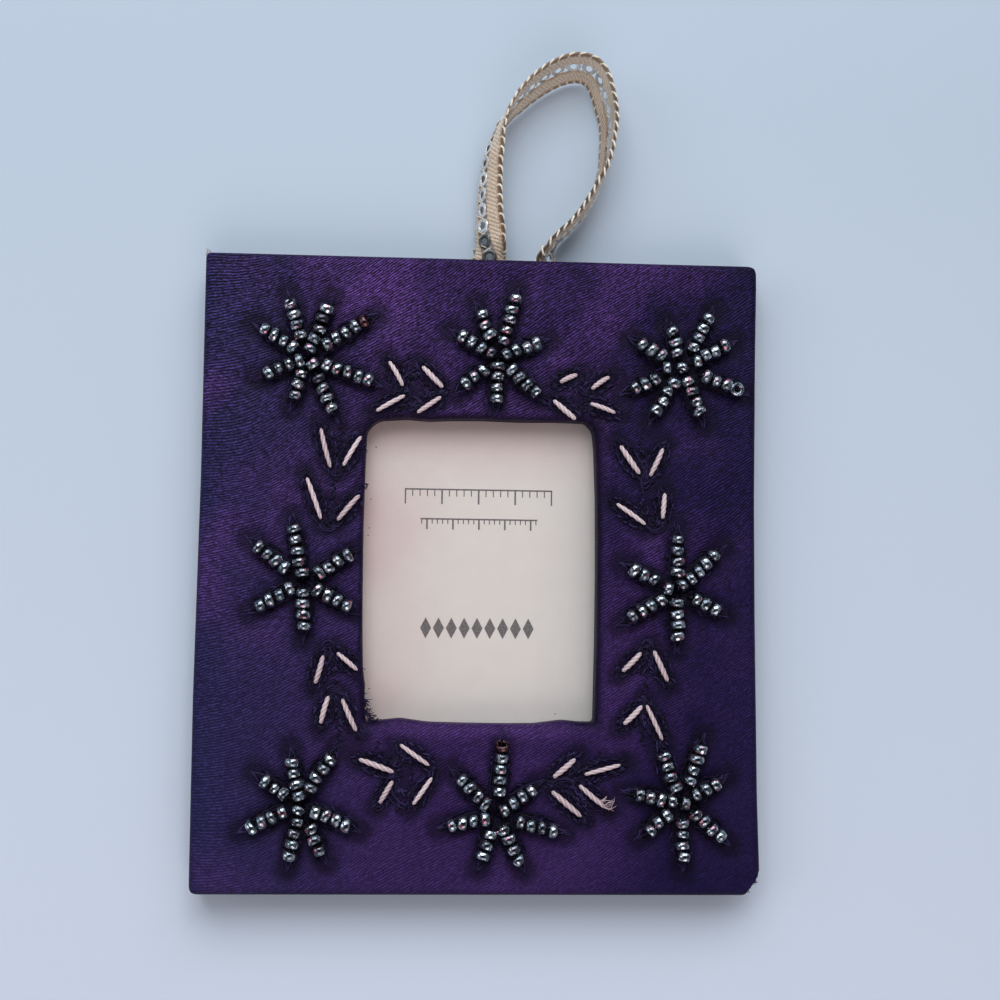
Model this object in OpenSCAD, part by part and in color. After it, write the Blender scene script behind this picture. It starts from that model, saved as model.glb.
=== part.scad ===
// Small hanging picture frame: two boards covered in satin, with a window,
// strung seed beads, leaf embroidery and a ribbon loop. It lies on its back,
// +Z out of the face and +Y towards the ribbon, in millimetres.

/* [Frame] */
// Width over the satin
frame_w = 90; // [84:1:120]
// Height over the satin
frame_h = 102; // [98:1:140]
// Rounding of the outer edges
edge_r = 1.1; // [0.9:0.1:1.2]
// Rounding of the corners, seen from the front
corner_r = 1.4; // [1.3:0.1:2.4]
// Worn corner, along the bottom edge
worn_w = 2.6; // [1.6:0.1:4]
// Worn corner, along the right edge
worn_h = 3.8; // [1.6:0.1:6]

/* [Layers] */
// Thickness of the satin
satin_t = 0.35; // [0.2:0.05:0.4]
// Thickness of the back board
back_board_t = 2; // [1.5:0.1:3]
// Thickness of the front board
front_board_t = 2.5; // [1.8:0.1:4]
// Thickness of the wadding under the front satin
wadding_t = 1; // [1:0.1:2]
// Satin turned in over the outer edge of each board
turn_in = 10; // [6:1:12]
// Satin turned in through the window
window_turn_in = 6; // [4:0.5:8]
// Thickness of the paper that lines the back board
lining_t = 0.3; // [0.15:0.05:0.35]
// Clearance between a board and its satin, and round loose pieces
fit = 0.05; // [0.02:0.01:0.1]

/* [Window] */
// Clear width of the window
window_w = 37.6; // [30:0.2:44]
// Clear height of the window
window_h = 48.6; // [40:0.2:56]
// Window centre, to the right of the frame's centre
window_x = 0.2; // [-1:0.1:1]
// Window centre, above the frame's centre
window_y = 0.3; // [-1:0.1:1]
// Rounding of the window's corners
window_r = 1.2; // [0.6:0.1:3]
// Rounding of the satin over the window's edge
rim_r = 1; // [0.6:0.1:1.3]

/* [Insert] */
// How far the card reaches past the window on each side
card_lap = 3.2; // [2:0.1:5]
// Thickness of the card
card_t = 0.3; // [0.2:0.05:0.6]
// Thickness of the clear sheet
sheet_t = 0.35; // [0.2:0.05:0.6]
// Free height over the card
card_gap = 0.25; // [0.15:0.05:0.6]
// Free width beside the card
card_play = 0.4; // [0.2:0.1:1]
// How far the spacers lie in from the frame's edge
spacer_inset = 1.5; // [1:0.1:3]

/* [Beads] */
// Diameter of a seed bead
bead_d = 2.2; // [1.8:0.1:2.2]
// Length of a seed bead
bead_l = 1.65; // [1.3:0.05:1.7]
// Distance from bead to bead along a string
bead_pitch = 1.75; // [1.72:0.01:2]
// Hole through a bead
bead_hole = 0.8; // [0.6:0.05:0.9]
// Diameter of the beading thread
thread_d = 0.35; // [0.2:0.05:0.4]

/* [Embroidery] */
// Thickness of the stitched petals and leaves
stitch_t = 0.25; // [0.15:0.05:0.4]
// Width of a stitched petal
petal_w = 3.6; // [3:0.1:4.5]
// How far a petal reaches past its last bead
petal_tip = 2.4; // [1:0.1:3]
// Width of a stitched leaf
leaf_w = 2.8; // [2:0.1:3.4]
// How far a leaf reaches past each end of its pale stitch
leaf_tip = 1.4; // [0.8:0.1:2]
// Width of a pale stitch
floss_d = 0.8; // [0.5:0.05:1]
// Rise of a pale stitch over its leaf
floss_rise = 0.5; // [0.3:0.05:0.8]

/* [Ribbon] */
// Width of the ribbon
ribbon_w = 8.2; // [6:0.1:8.8]
// How much narrower the ribbon is where it is gathered and glued in
ribbon_tuck = 1.3; // [0:0.1:1.6]
// Thickness of the ribbon
ribbon_t = 0.6; // [0.4:0.05:0.8]
// Diameter of a sequin
sequin_d = 2.4; // [1.6:0.1:2.5]
// Hole in a sequin
sequin_hole = 1.1; // [0.6:0.1:1.3]
// Thickness of a sequin
sequin_t = 0.12; // [0.1:0.01:0.2]
// Distance from sequin to sequin
sequin_pitch = 2.75; // [2.7:0.05:4]

/* [Hidden] */
$fn = 32;

// The layers, from the back upwards
back_board_z = satin_t;
back_inside_z = back_board_z + back_board_t;
floor_z = back_inside_z + satin_t;
sequin_gap = 0.1;
ribbon_stack = ribbon_t + sequin_gap + sequin_t + 2 * fit;
spacer_t = max(card_t + sheet_t + card_gap, ribbon_stack);
ceiling_z = floor_z + spacer_t;
front_board_z = ceiling_z + satin_t;
wadding_z = front_board_z + front_board_t;
face_z = wadding_z + wadding_t + satin_t;
stitch_z = face_z + stitch_t;

// How far the satin's turn into the window is modelled from the window's edge
rim_w = rim_r + 1;

// The insert's channel, open to the right
card_w = window_w + 2 * card_lap;
card_h = window_h + 2 * card_lap;
channel_left = window_x - card_w / 2 - card_play;
channel_low = window_y - card_h / 2 - card_play;
channel_high = window_y + card_h / 2 + card_play;
spacer_x = frame_w / 2 - spacer_inset;
spacer_y = frame_h / 2 - spacer_inset;

// Middles of the four borders round the window
left_x = (window_x - window_w / 2 - frame_w / 2) / 2;
right_x = (window_x + window_w / 2 + frame_w / 2) / 2;
top_y = (window_y + window_h / 2 + frame_h / 2) / 2;
bottom_y = (window_y - window_h / 2 - frame_h / 2) / 2;

// Each flower: name, centre, then its strings as angle, first bead, count
FLOWERS = [
    ["top_left", [left_x + 3.6, top_y - 4],
        [[108, 3.7, 4], [70, 1.4, 5], [34, 3.8, 5], [340, 3.4, 5], [297, 3.9, 4],
         [310, 1.4, 1], [253, 2.9, 3], [203, 1.4, 4], [148, 2.8, 4]]],
    ["top_middle", [window_x + 2.2, top_y - 3.4],
        [[112, 4, 3], [75, 2.9, 5], [22, 1.4, 4], [318, 2.9, 4], [268, 1.4, 4],
         [220, 3.2, 3], [150, 1.4, 4]]],
    ["top_right", [right_x + 0.3, top_y - 4.4],
        [[107, 2.6, 3], [62, 3.9, 4], [28, 2.6, 4], [340, 4.2, 4], [292, 2.4, 4],
         [240, 2.9, 4], [204, 4.9, 3], [183, 2.5, 1], [150, 4, 3], [60, 0, 1]]],
    ["middle_left", [left_x + 3.8, window_y - 2.3],
        [[102, 1.4, 5], [32, 2.8, 4], [330, 2.6, 4], [271, 1.8, 4], [210, 2.5, 4],
         [143, 3.7, 4]]],
    ["middle_right", [right_x - 0.6, window_y - 3.1],
        [[88, 3, 4], [43, 1.4, 5], [336, 3.4, 3], [272, 1.9, 4], [211, 2.9, 4],
         [153, 4, 3], [160, 1.4, 1]]],
    ["bottom_left", [left_x + 4, bottom_y + 0.7],
        [[101, 1.4, 4], [58, 3.1, 4], [336, 2.7, 4], [295, 4.2, 3], [260, 0.9, 5],
         [205, 2.9, 4], [147, 3, 3]]],
    ["bottom_middle", [window_x + 2.9, bottom_y - 0.9],
        [[87, 3.8, 5], [37, 1.4, 4], [346, 3.8, 4], [297, 2.3, 4], [251, 3.1, 3],
         [192, 2, 4], [136, 2.6, 4]]],
    ["bottom_right", [right_x + 0.3, bottom_y + 1.2],
        [[112, 2.6, 4], [70, 3.8, 4], [28, 2.7, 3], [320, 2.8, 4], [272, 3.1, 4],
         [220, 3, 3], [170, 1.6, 4], [345, 0.6, 1]]]
];

// Each spray of four leaves: name, centre, then its stitches as x, y, angle, length
SPRAYS = [
    ["top_left", [window_x - window_w / 4 - 2.2, window_y + window_h / 2 + 4.4],
        [[-2.6, 2.6, -60, 4.5], [3.3, 2.2, -45, 4.7], [-3.4, -2.2, 30, 5.2], [2.8, -2.3, 35, 4.6]]],
    ["top_right", [window_x + window_w / 4 + 6.8, window_y + window_h / 2 + 4.2],
        [[-2.5, 2.6, 25, 3], [2.7, 2, 35, 3.5], [-3.1, -2.5, -40, 4.7], [3.1, -2.1, -20, 4.3]]],
    ["left_upper", [window_x - window_w / 2 - 4.8, window_y + window_h / 4 + 2.4],
        [[-1.6, 4.5, -75, 6.5], [2.6, 4.1, 60, 5.5], [-3.3, -3.6, -70, 7], [2.2, -5, 50, 5.3]]],
    ["left_lower", [window_x - window_w / 2 - 4.1, window_y - window_h / 4 - 7],
        [[-2.6, 3, 75, 4.5], [1.8, 4.3, -40, 4.2], [-1.6, -3.3, 75, 4.4], [2.3, -4.1, -65, 5.5]]],
    ["right_upper", [window_x + window_w / 2 + 7.5, window_y + window_h / 4 + 1.8],
        [[-2.5, 4.1, -55, 5.5], [1.8, 3.8, 65, 5], [-2.3, -4.7, -35, 5.7], [3, -3.3, 85, 4.1]]],
    ["right_lower", [window_x + window_w / 2 + 7.6, window_y - window_h / 4 - 7],
        [[-2.2, 4.7, 45, 4.2], [2.5, 4.1, -65, 5.3], [-2, -3.7, 45, 4.1], [1.5, -4.9, -65, 6.1]]],
    ["bottom_left", [window_x - window_w / 4 - 3.1, window_y - window_h / 2 - 8.4],
        [[-3.7, 1.6, -20, 5.8], [2.3, 3.3, -35, 5.6], [-2.1, -2.5, 60, 4], [3.6, -2.3, 55, 5.1]]],
    ["bottom_right", [window_x + window_w / 4 + 6.9, window_y - window_h / 2 - 9.6],
        [[-2.8, 2.6, 40, 4.5], [3.3, 2.4, 15, 5.9], [-2.4, -3, -40, 6.1], [1.7, -1.8, -40, 5.4]]]
];

// The ribbon's middle line: x, y above the top edge, height, tilt of its width.
// It stands on one edge in the loop, leaning outwards at the top, and both ends
// lie flat between the boards.
ribbon_z = floor_z + fit + ribbon_t / 2;
RIBBON = [
    [1.4, -8, ribbon_z, 0],
    [1.3, -4, ribbon_z, 0],
    [1.2, -1, ribbon_z, 0],
    [1.1, 0.8, ribbon_z, 0],
    [0.7, 4.5, 3.2, 42],
    [0.4, 9, 3.6, 57],
    [0.5, 14, 3.9, 63],
    [1.1, 18.4, 4.3, 72],
    [2.3, 22.8, 4.4, 82],
    [4.1, 25.8, 4.45, 93],
    [6.1, 28.3, 4.4, 101],
    [8.5, 30.6, 4.3, 105],
    [11.2, 32.5, 4.3, 107],
    [14, 33.7, 4.3, 108],
    [16.5, 33.8, 4.3, 108],
    [18.3, 32.8, 4.3, 109],
    [19.4, 30.8, 4.3, 110],
    [20.2, 28, 4.3, 109],
    [20.8, 24.8, 4.35, 106],
    [20.6, 20.8, 4.4, 102],
    [20, 16.6, 4.45, 97],
    [18.6, 12.7, 4.45, 89],
    [16.8, 9.4, 4.45, 88],
    [14.5, 6.6, 4.4, 88],
    [12.4, 4.6, 4.2, 82],
    [11.3, 2.7, 3.6, 50],
    [10.9, 0.6, ribbon_z, 0],
    [10.8, -1.5, ribbon_z, 0],
    [10.7, -4.5, ribbon_z, 0],
    [10.7, -8, ribbon_z, 0]
];
ribbon_steps = 8;
ribbon_rings = 80;
ribbon_loose = 7;
ribbon_room = (ribbon_w - ribbon_tuck) / 2 + 1.5;

SINGLE_NODES = ["back_board", "back_cover", "back_lining", "insert_card", "window_sheet",
    "spacer_left", "spacer_bottom", "spacer_top_left", "spacer_top_right",
    "front_board", "wadding", "front_cover", "bead_threads", "hanging_ribbon", "ribbon_sequins"];

SATIN = [0.24, 0.13, 0.40];
DARK_THREAD = [0.10, 0.06, 0.18];
GREY_BOARD = [0.62, 0.60, 0.57];
CREAM = [0.88, 0.86, 0.82];
FLOSS = [0.92, 0.82, 0.84];
HEMATITE = [0.22, 0.22, 0.28];
BEIGE = [0.76, 0.68, 0.56];
SILVER = [0.80, 0.80, 0.82];

// A flat shape with rounded corners
module rounded_rect(w, h, r) {
    square([w - 2 * r, h], center = true);
    square([w, h - 2 * r], center = true);
    for (x = [-1, 1], y = [-1, 1])
        translate([x * (w / 2 - r), y * (h / 2 - r)]) circle(r);
}

// The slant that wear has cut off the bottom right corner, as a cutter
module worn_corner(inset) {
    slope = sqrt(worn_w * worn_w + worn_h * worn_h);
    w = worn_w + inset * slope / worn_h;
    h = w * worn_h / worn_w;
    translate([frame_w / 2, -frame_h / 2, -1])
        linear_extrude(face_z + 2)
            polygon([[-w - 1, -worn_h / worn_w], [1, -worn_h / worn_w], [1, h + worn_h / worn_w]]);
}

// Half of an edge's section: x outwards to a soft upper edge, y upwards
module edge_section(reach, low, high, r) {
    translate([0, low]) square([reach, high - r - low]);
    translate([0, high - r]) square([reach - r, r]);
    translate([reach - r, high - r]) intersection() {
        circle(r);
        square(r);
    }
}

// A slab with a softly rounded upper face, drawn in by an inset on all sides
module soft_slab(inset, low, high) {
    corner = corner_r - inset;
    x = frame_w / 2 - corner_r;
    y = frame_h / 2 - corner_r;
    top = high - inset;
    difference() {
        union() {
            translate([-x, -y, low]) cube([2 * x, 2 * y, top - low]);
            for (i = [0:3]) {
                side = i == 0 || i == 3 ? 1 : -1;
                end = i < 2 ? 1 : -1;
                translate([side * x, end * y, 0])
                    rotate([0, 0, 90 * i]) {
                        rotate_extrude(angle = 90) edge_section(corner, low, top, edge_r - inset);
                        rotate([90, 0, 0])
                            linear_extrude(i % 2 == 0 ? 2 * y : 2 * x)
                                edge_section(corner, low, top, edge_r - inset);
                    }
            }
        }
        worn_corner(inset);
    }
}

// The section of the satin's turn into the window, x outwards from the window
module rim_section(inset, reach, low) {
    r = rim_r - inset;
    top = face_z - inset;
    translate([reach, 0]) mirror([1, 0]) edge_section(reach - inset, low, top, r);
}

// The padded front panel's outer form with its window, drawn in by an inset
module front_form(inset, low) {
    x = window_w / 2 - window_r;
    y = window_h / 2 - window_r;
    block = window_r + rim_w;
    difference() {
        soft_slab(inset, low, face_z);
        translate([window_x - x - block, window_y - y - block, low - 1])
            cube([2 * (x + block), 2 * (y + block), face_z]);
    }
    for (i = [0:3]) {
        side = i == 0 || i == 3 ? 1 : -1;
        end = i < 2 ? 1 : -1;
        translate([window_x + side * x, window_y + end * y, 0])
            rotate([0, 0, 90 * i]) {
                intersection() {
                    rotate_extrude(angle = 90)
                        translate([window_r, 0]) rim_section(inset, 2 * block, low);
                    cube([block, block, face_z]);
                }
                rotate([90, 0, 0])
                    linear_extrude(i % 2 == 0 ? 2 * y : 2 * x)
                        translate([window_r, 0]) rim_section(inset, rim_w, low);
            }
    }
}

module front_cover() {
    color(SATIN) {
        difference() {
            front_form(0, ceiling_z);
            front_form(satin_t, ceiling_z - 1);
        }
        translate([0, 0, ceiling_z])
            difference() {
                turned_border(satin_t / 2);
                worn_corner(satin_t / 2);
            }
        translate([window_x, window_y, ceiling_z])
            linear_extrude(satin_t)
                difference() {
                    rounded_rect(window_w + 2 * window_turn_in, window_h + 2 * window_turn_in, window_r);
                    rounded_rect(window_w + satin_t, window_h + satin_t, window_r + satin_t / 2);
                }
    }
}

// The strip of satin glued down round the inner face of a board
module turned_border(inset) {
    linear_extrude(satin_t)
        difference() {
            rounded_rect(frame_w - 2 * inset, frame_h - 2 * inset, corner_r - inset);
            rounded_rect(frame_w - 2 * turn_in, frame_h - 2 * turn_in, corner_r);
        }
}

module front_board() {
    color(GREY_BOARD)
        intersection() {
            front_form(satin_t + fit, front_board_z - 1);
            translate([-frame_w, -frame_h, front_board_z])
                cube([2 * frame_w, 2 * frame_h, front_board_t]);
        }
}

module wadding() {
    color(CREAM)
        intersection() {
            front_form(satin_t + fit, wadding_z - 1);
            translate([-frame_w, -frame_h, wadding_z])
                cube([2 * frame_w, 2 * frame_h, wadding_t]);
        }
}

// The back panel's outer form, its rounded face on the table
module back_form(inset) {
    translate([0, 0, floor_z]) mirror([0, 0, 1]) soft_slab(inset, 0, floor_z);
}

module back_cover() {
    color(SATIN) {
        difference() {
            back_form(0);
            back_room();
        }
        translate([0, 0, back_inside_z])
            difference() {
                turned_border(satin_t / 2);
                translate([0, 0, -back_inside_z]) worn_corner(satin_t / 2);
            }
    }
}

// The room for the back board inside its satin, open upwards
module back_room() {
    translate([0, 0, floor_z + 1]) mirror([0, 0, 1]) soft_slab(satin_t, 0, floor_z + 1);
}

module back_board() {
    color(GREY_BOARD)
        intersection() {
            back_form(satin_t + fit);
            translate([-frame_w, -frame_h, back_board_z])
                cube([2 * frame_w, 2 * frame_h, back_board_t]);
        }
}

module back_lining() {
    w = frame_w - 2 * turn_in - 1;
    h = frame_h - 2 * turn_in - 1;
    color(CREAM)
        translate([-w / 2, -h / 2, back_inside_z]) cube([w, h, lining_t]);
}

module insert_card() {
    color(CREAM)
        translate([window_x - card_w / 2, window_y - card_h / 2, floor_z])
            cube([card_w, card_h, card_t]);
}

module window_sheet() {
    color([0.9, 0.95, 1, 0.3])
        translate([window_x - card_w / 2, window_y - card_h / 2, ceiling_z - sheet_t])
            cube([card_w, card_h, sheet_t]);
}

// A strip of card between the panels, from one corner to the other
module spacer(low, high) {
    color(GREY_BOARD)
        translate([low[0], low[1], floor_z])
            cube([high[0] - low[0], high[1] - low[1], spacer_t]);
}

module spacer_left() {
    spacer([-spacer_x, channel_low], [channel_left, channel_high]);
}

module spacer_bottom() {
    spacer([-spacer_x, -spacer_y], [spacer_x - worn_w, channel_low]);
}

module spacer_top_left() {
    spacer([-spacer_x, channel_high], [RIBBON[0][0] - ribbon_room, spacer_y]);
}

module spacer_top_right() {
    spacer([RIBBON[len(RIBBON) - 1][0] + ribbon_room, channel_high], [spacer_x, spacer_y]);
}

// A seed bead, its hole along X
module bead() {
    rotate([0, 90, 0])
        difference() {
            intersection() {
                sphere(d = bead_d);
                cube([bead_d, bead_d, bead_l], center = true);
            }
            cylinder(d = bead_hole, h = bead_l + 1, center = true);
        }
}

module bead_flower(flower) {
    color(HEMATITE)
        translate([flower[1][0], flower[1][1], stitch_z + fit + bead_d / 2])
            for (string = flower[2])
                rotate([0, 0, string[0]])
                    for (i = [0:string[2] - 1])
                        translate([string[1] + i * bead_pitch, 0, 0]) bead();
}

// The thread of one string: through its beads and down to the face at both ends
module string_thread(first, count) {
    reach = (bead_l + thread_d) / 2 + fit;
    from = first - reach;
    run = (count - 1) * bead_pitch + 2 * reach;
    up = bead_d / 2 + fit;
    translate([from, 0, up]) rotate([0, 90, 0]) cylinder(d = thread_d, h = run);
    for (x = [from, from + run]) {
        translate([x, 0, 0]) cylinder(d = thread_d, h = up);
        translate([x, 0, up]) sphere(d = thread_d);
    }
}

module bead_threads() {
    color(DARK_THREAD)
        for (flower = FLOWERS)
            translate([flower[1][0], flower[1][1], stitch_z])
                for (string = flower[2])
                    if (string[2] > 1)
                        rotate([0, 0, string[0]]) string_thread(string[1], string[2]);
}

// A pointed leaf outline from the origin along +X
module lens(length, width) {
    r = (length * length + width * width) / (4 * width);
    intersection() {
        translate([length / 2, r - width / 2]) circle(r, $fn = 96);
        translate([length / 2, width / 2 - r]) circle(r, $fn = 96);
    }
}

module flower_petals(flower) {
    color(DARK_THREAD)
        translate([0, 0, face_z])
            linear_extrude(stitch_t)
                intersection() {
                    flat_face();
                    translate(flower[1]) petal_outline(flower[2]);
                }
}

// One pointed petal under each string of beads
module petal_outline(strings) {
    circle(d = petal_w);
    for (string = strings)
        if (string[2] > 1)
            rotate(string[0])
                lens(string[1] + (string[2] - 1) * bead_pitch + bead_l / 2 + petal_tip, petal_w);
}

// The flat part of the face, as an outline
module flat_face() {
    difference() {
        square([frame_w - 2 * corner_r, frame_h - 2 * corner_r], center = true);
        translate([window_x, window_y])
            rounded_rect(window_w + 2 * rim_r, window_h + 2 * rim_r, window_r + rim_r);
    }
}

module leaf_spray(spray) {
    color(DARK_THREAD)
        translate([0, 0, face_z])
            linear_extrude(stitch_t)
                difference() {
                    intersection() {
                        flat_face();
                        translate(spray[1])
                            for (s = spray[2])
                                translate([s[0], s[1]])
                                    rotate(s[2])
                                        translate([-s[3] / 2 - leaf_tip, 0])
                                            lens(s[3] + 2 * leaf_tip, leaf_w);
                    }
                    for (flower = FLOWERS) translate(flower[1]) petal_outline(flower[2]);
                }
}

// A strand that rises from the leaf and dips back into it
module floss(length) {
    r = (length * length / 4 + floss_rise * floss_rise) / (2 * floss_rise);
    intersection() {
        translate([0, 0, floss_rise - r])
            rotate([90, 0, 0])
                rotate_extrude($fn = 200) translate([r - floss_d / 2, 0]) circle(d = floss_d);
        translate([-length / 2, -floss_d, 0]) cube([length, 2 * floss_d, floss_rise + floss_d]);
    }
}

module floss_spray(spray) {
    color(FLOSS)
        translate([spray[1][0], spray[1][1], stitch_z])
            for (s = spray[2])
                translate([s[0], s[1], 0]) rotate([0, 0, s[2]]) floss(s[3]);
}

// Points of a smooth curve through the ribbon's route, each x, y, z, tilt
function blend(a, b, c, d, t) =
    0.5 * (2 * b + (c - a) * t + (2 * a - 5 * b + 4 * c - d) * t * t + (3 * b - a - 3 * c + d) * t * t * t);
function ease(a, b, t) = a + (b - a) * t * t * (3 - 2 * t);
function route(i) = RIBBON[max(0, min(len(RIBBON) - 1, i))] + [0, frame_h / 2, 0, 0];
function between(i, t) =
    let (c = blend(route(i - 1), route(i), route(i + 1), route(i + 2), t),
         e = ease(route(i), route(i + 1), t))
    [c[0], c[1], e[2], e[3]];
function place(p) = [p[0], p[1], p[2]];
ribbon_curve = [
    for (i = [0:len(RIBBON) - 2], k = [0:ribbon_steps - 1]) between(i, k / ribbon_steps),
    route(len(RIBBON) - 1)
];
ribbon_run = [
    for (i = 0, s = 0; i < len(ribbon_curve);
         s = s + (i + 1 < len(ribbon_curve) ? norm(place(ribbon_curve[i + 1]) - place(ribbon_curve[i])) : 0),
         i = i + 1) s
];
ribbon_length = ribbon_run[len(ribbon_run) - 1];
function at_run(s, c) = lookup(s, [for (i = [0:len(ribbon_curve) - 1]) [ribbon_run[i], ribbon_curve[i][c]]]);
function ribbon_at(s) = [at_run(s, 0), at_run(s, 1), at_run(s, 2)];
function heading(s) =
    let (a = ribbon_at(max(0, s - 0.3)), b = ribbon_at(min(ribbon_length, s + 0.3)))
    atan2(b[1] - a[1], b[0] - a[0]);
function ribbon_width_way(s) =
    let (h = heading(s), t = at_run(s, 3))
    [cos(t) * sin(h), -cos(t) * cos(h), sin(t)];
function ribbon_face_way(s) =
    let (h = heading(s), t = at_run(s, 3))
    [-sin(t) * sin(h), sin(t) * cos(h), cos(t)];

// Half the ribbon's width, less where it nears the boards
function ribbon_half(s) =
    let (t = max(0, min(1, (at_run(s, 1) - frame_h / 2) / ribbon_loose)))
    ribbon_w / 2 - ease(ribbon_tuck / 2, 0, t);

// The ribbon's section for a half width, thinner at its two edges
ribbon_edge = 0.6;
function ribbon_section(half) = [
    [half, ribbon_t / 6], [half - ribbon_edge, ribbon_t / 2],
    [ribbon_edge - half, ribbon_t / 2], [-half, ribbon_t / 6],
    [-half, -ribbon_t / 6], [ribbon_edge - half, -ribbon_t / 2],
    [half - ribbon_edge, -ribbon_t / 2], [half, -ribbon_t / 6]
];

module hanging_ribbon() {
    sides = len(ribbon_section(ribbon_w));
    points = [
        for (k = [0:ribbon_rings])
            let (s = k * ribbon_length / ribbon_rings, p = ribbon_at(s),
                 w = ribbon_width_way(s), f = ribbon_face_way(s))
            for (q = ribbon_section(ribbon_half(s))) p + q[0] * w + q[1] * f
    ];
    walls = [
        for (k = [0:ribbon_rings - 1], j = [0:sides - 1])
            let (a = k * sides + j, b = k * sides + (j + 1) % sides)
            each [[a, b, b + sides], [a, b + sides, a + sides]]
    ];
    start_cap = [for (j = [0:sides - 1]) sides - 1 - j];
    end_cap = [for (j = [0:sides - 1]) ribbon_rings * sides + j];
    color(BEIGE) polyhedron(points, concat(walls, [start_cap], [end_cap]));
}

// How far a flat sequin stands off the ribbon, more where the ribbon twists
sequin_slack = 0.7;
function sequin_lift(s) =
    let (twist = at_run(s + sequin_d / 2, 3) - at_run(s - sequin_d / 2, 3))
    ribbon_t / 2 + sequin_gap + sequin_slack * sequin_d * abs(sin(twist / 2));

module ribbon_sequins() {
    count = floor((ribbon_length - 2 * sequin_d) / sequin_pitch);
    start = (ribbon_length - (count - 1) * sequin_pitch) / 2;
    color(SILVER)
        for (i = [0:count - 1]) {
            s = start + i * sequin_pitch;
            translate(ribbon_at(s))
                rotate([0, 0, heading(s)])
                    rotate([-at_run(s, 3), 0, 0])
                        translate([0, 0, sequin_lift(s)])
                            difference() {
                                cylinder(d = sequin_d, h = sequin_t);
                                translate([0, 0, -1]) cylinder(d = sequin_hole, h = sequin_t + 2);
                            }
        }
}

back_board();
back_cover();
back_lining();
insert_card();
window_sheet();
spacer_left();
spacer_bottom();
spacer_top_left();
spacer_top_right();
front_board();
wadding();
front_cover();
bead_threads();
hanging_ribbon();
ribbon_sequins();
for (f = FLOWERS) {
    bead_flower(f);
    flower_petals(f);
}
for (s = SPRAYS) {
    leaf_spray(s);
    floss_spray(s);
}
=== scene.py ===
"""Dresses the small hanging picture frame: satin covers, strung seed beads,
stitched petals and leaves, pale floss, the window's insert and the ribbon loop."""

import logging
import math
import random
from collections.abc import Callable, Iterator, Mapping, Sequence
from contextlib import contextmanager
from dataclasses import dataclass, field
from enum import Enum

import bpy
import numpy as np
from mathutils import Matrix, Quaternion, Vector, noise


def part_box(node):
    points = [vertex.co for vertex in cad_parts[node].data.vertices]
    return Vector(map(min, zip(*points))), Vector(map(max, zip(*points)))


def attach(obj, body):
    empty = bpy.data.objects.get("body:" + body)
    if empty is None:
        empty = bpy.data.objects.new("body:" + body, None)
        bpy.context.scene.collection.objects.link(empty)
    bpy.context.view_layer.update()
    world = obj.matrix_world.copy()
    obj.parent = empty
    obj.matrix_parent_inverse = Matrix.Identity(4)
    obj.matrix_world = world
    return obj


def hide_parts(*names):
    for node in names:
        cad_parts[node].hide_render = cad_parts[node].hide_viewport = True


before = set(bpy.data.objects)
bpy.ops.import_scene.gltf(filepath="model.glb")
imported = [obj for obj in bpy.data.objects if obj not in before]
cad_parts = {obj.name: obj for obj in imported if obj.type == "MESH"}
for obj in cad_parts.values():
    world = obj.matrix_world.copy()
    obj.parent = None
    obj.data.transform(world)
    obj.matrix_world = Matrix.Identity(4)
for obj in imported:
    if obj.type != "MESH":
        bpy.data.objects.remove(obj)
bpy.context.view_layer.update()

MM = 0.001
BODY = "root"
LOG = logging.getLogger("frame")
DRAW = random.Random(11)

Place = tuple[float, float, float]
Four = tuple[float, float, float, float]
Span = tuple[float, float]
Line = tuple[tuple[float, float], ...]
Corners = tuple[tuple[int, int, float], ...]

FRAME_SIZE = (90.0, 102.0)
FACE = 7.82
WINDOW_SIZE = (37.6, 48.6)
WINDOW_CENTRE = (0.2, 0.3)


# ---------------------------------------------------------------- patterns


@dataclass(frozen=True)
class Flower:
    """One beaded flower.

    name: the end of its CAD nodes' names.
    centre: x and y in millimetres.
    strings: angle in degrees, distance of the first bead, number of beads.
    """

    name: str
    centre: Span
    strings: tuple[tuple[float, float, int], ...]


@dataclass(frozen=True)
class Spray:
    """Four stitched leaves.

    name: the end of its CAD nodes' names.
    centre: x and y in millimetres.
    stitches: x, y from the centre, angle in degrees and length of each pale stitch.
    """

    name: str
    centre: Span
    stitches: tuple[Four, ...]

    def laid(self) -> list[tuple[np.ndarray, float, float]]:
        """Returns the middle, the angle and the length of each pale stitch."""
        return [(np.array(self.centre) + (x, y), angle, length)
                for x, y, angle, length in self.stitches]


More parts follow.
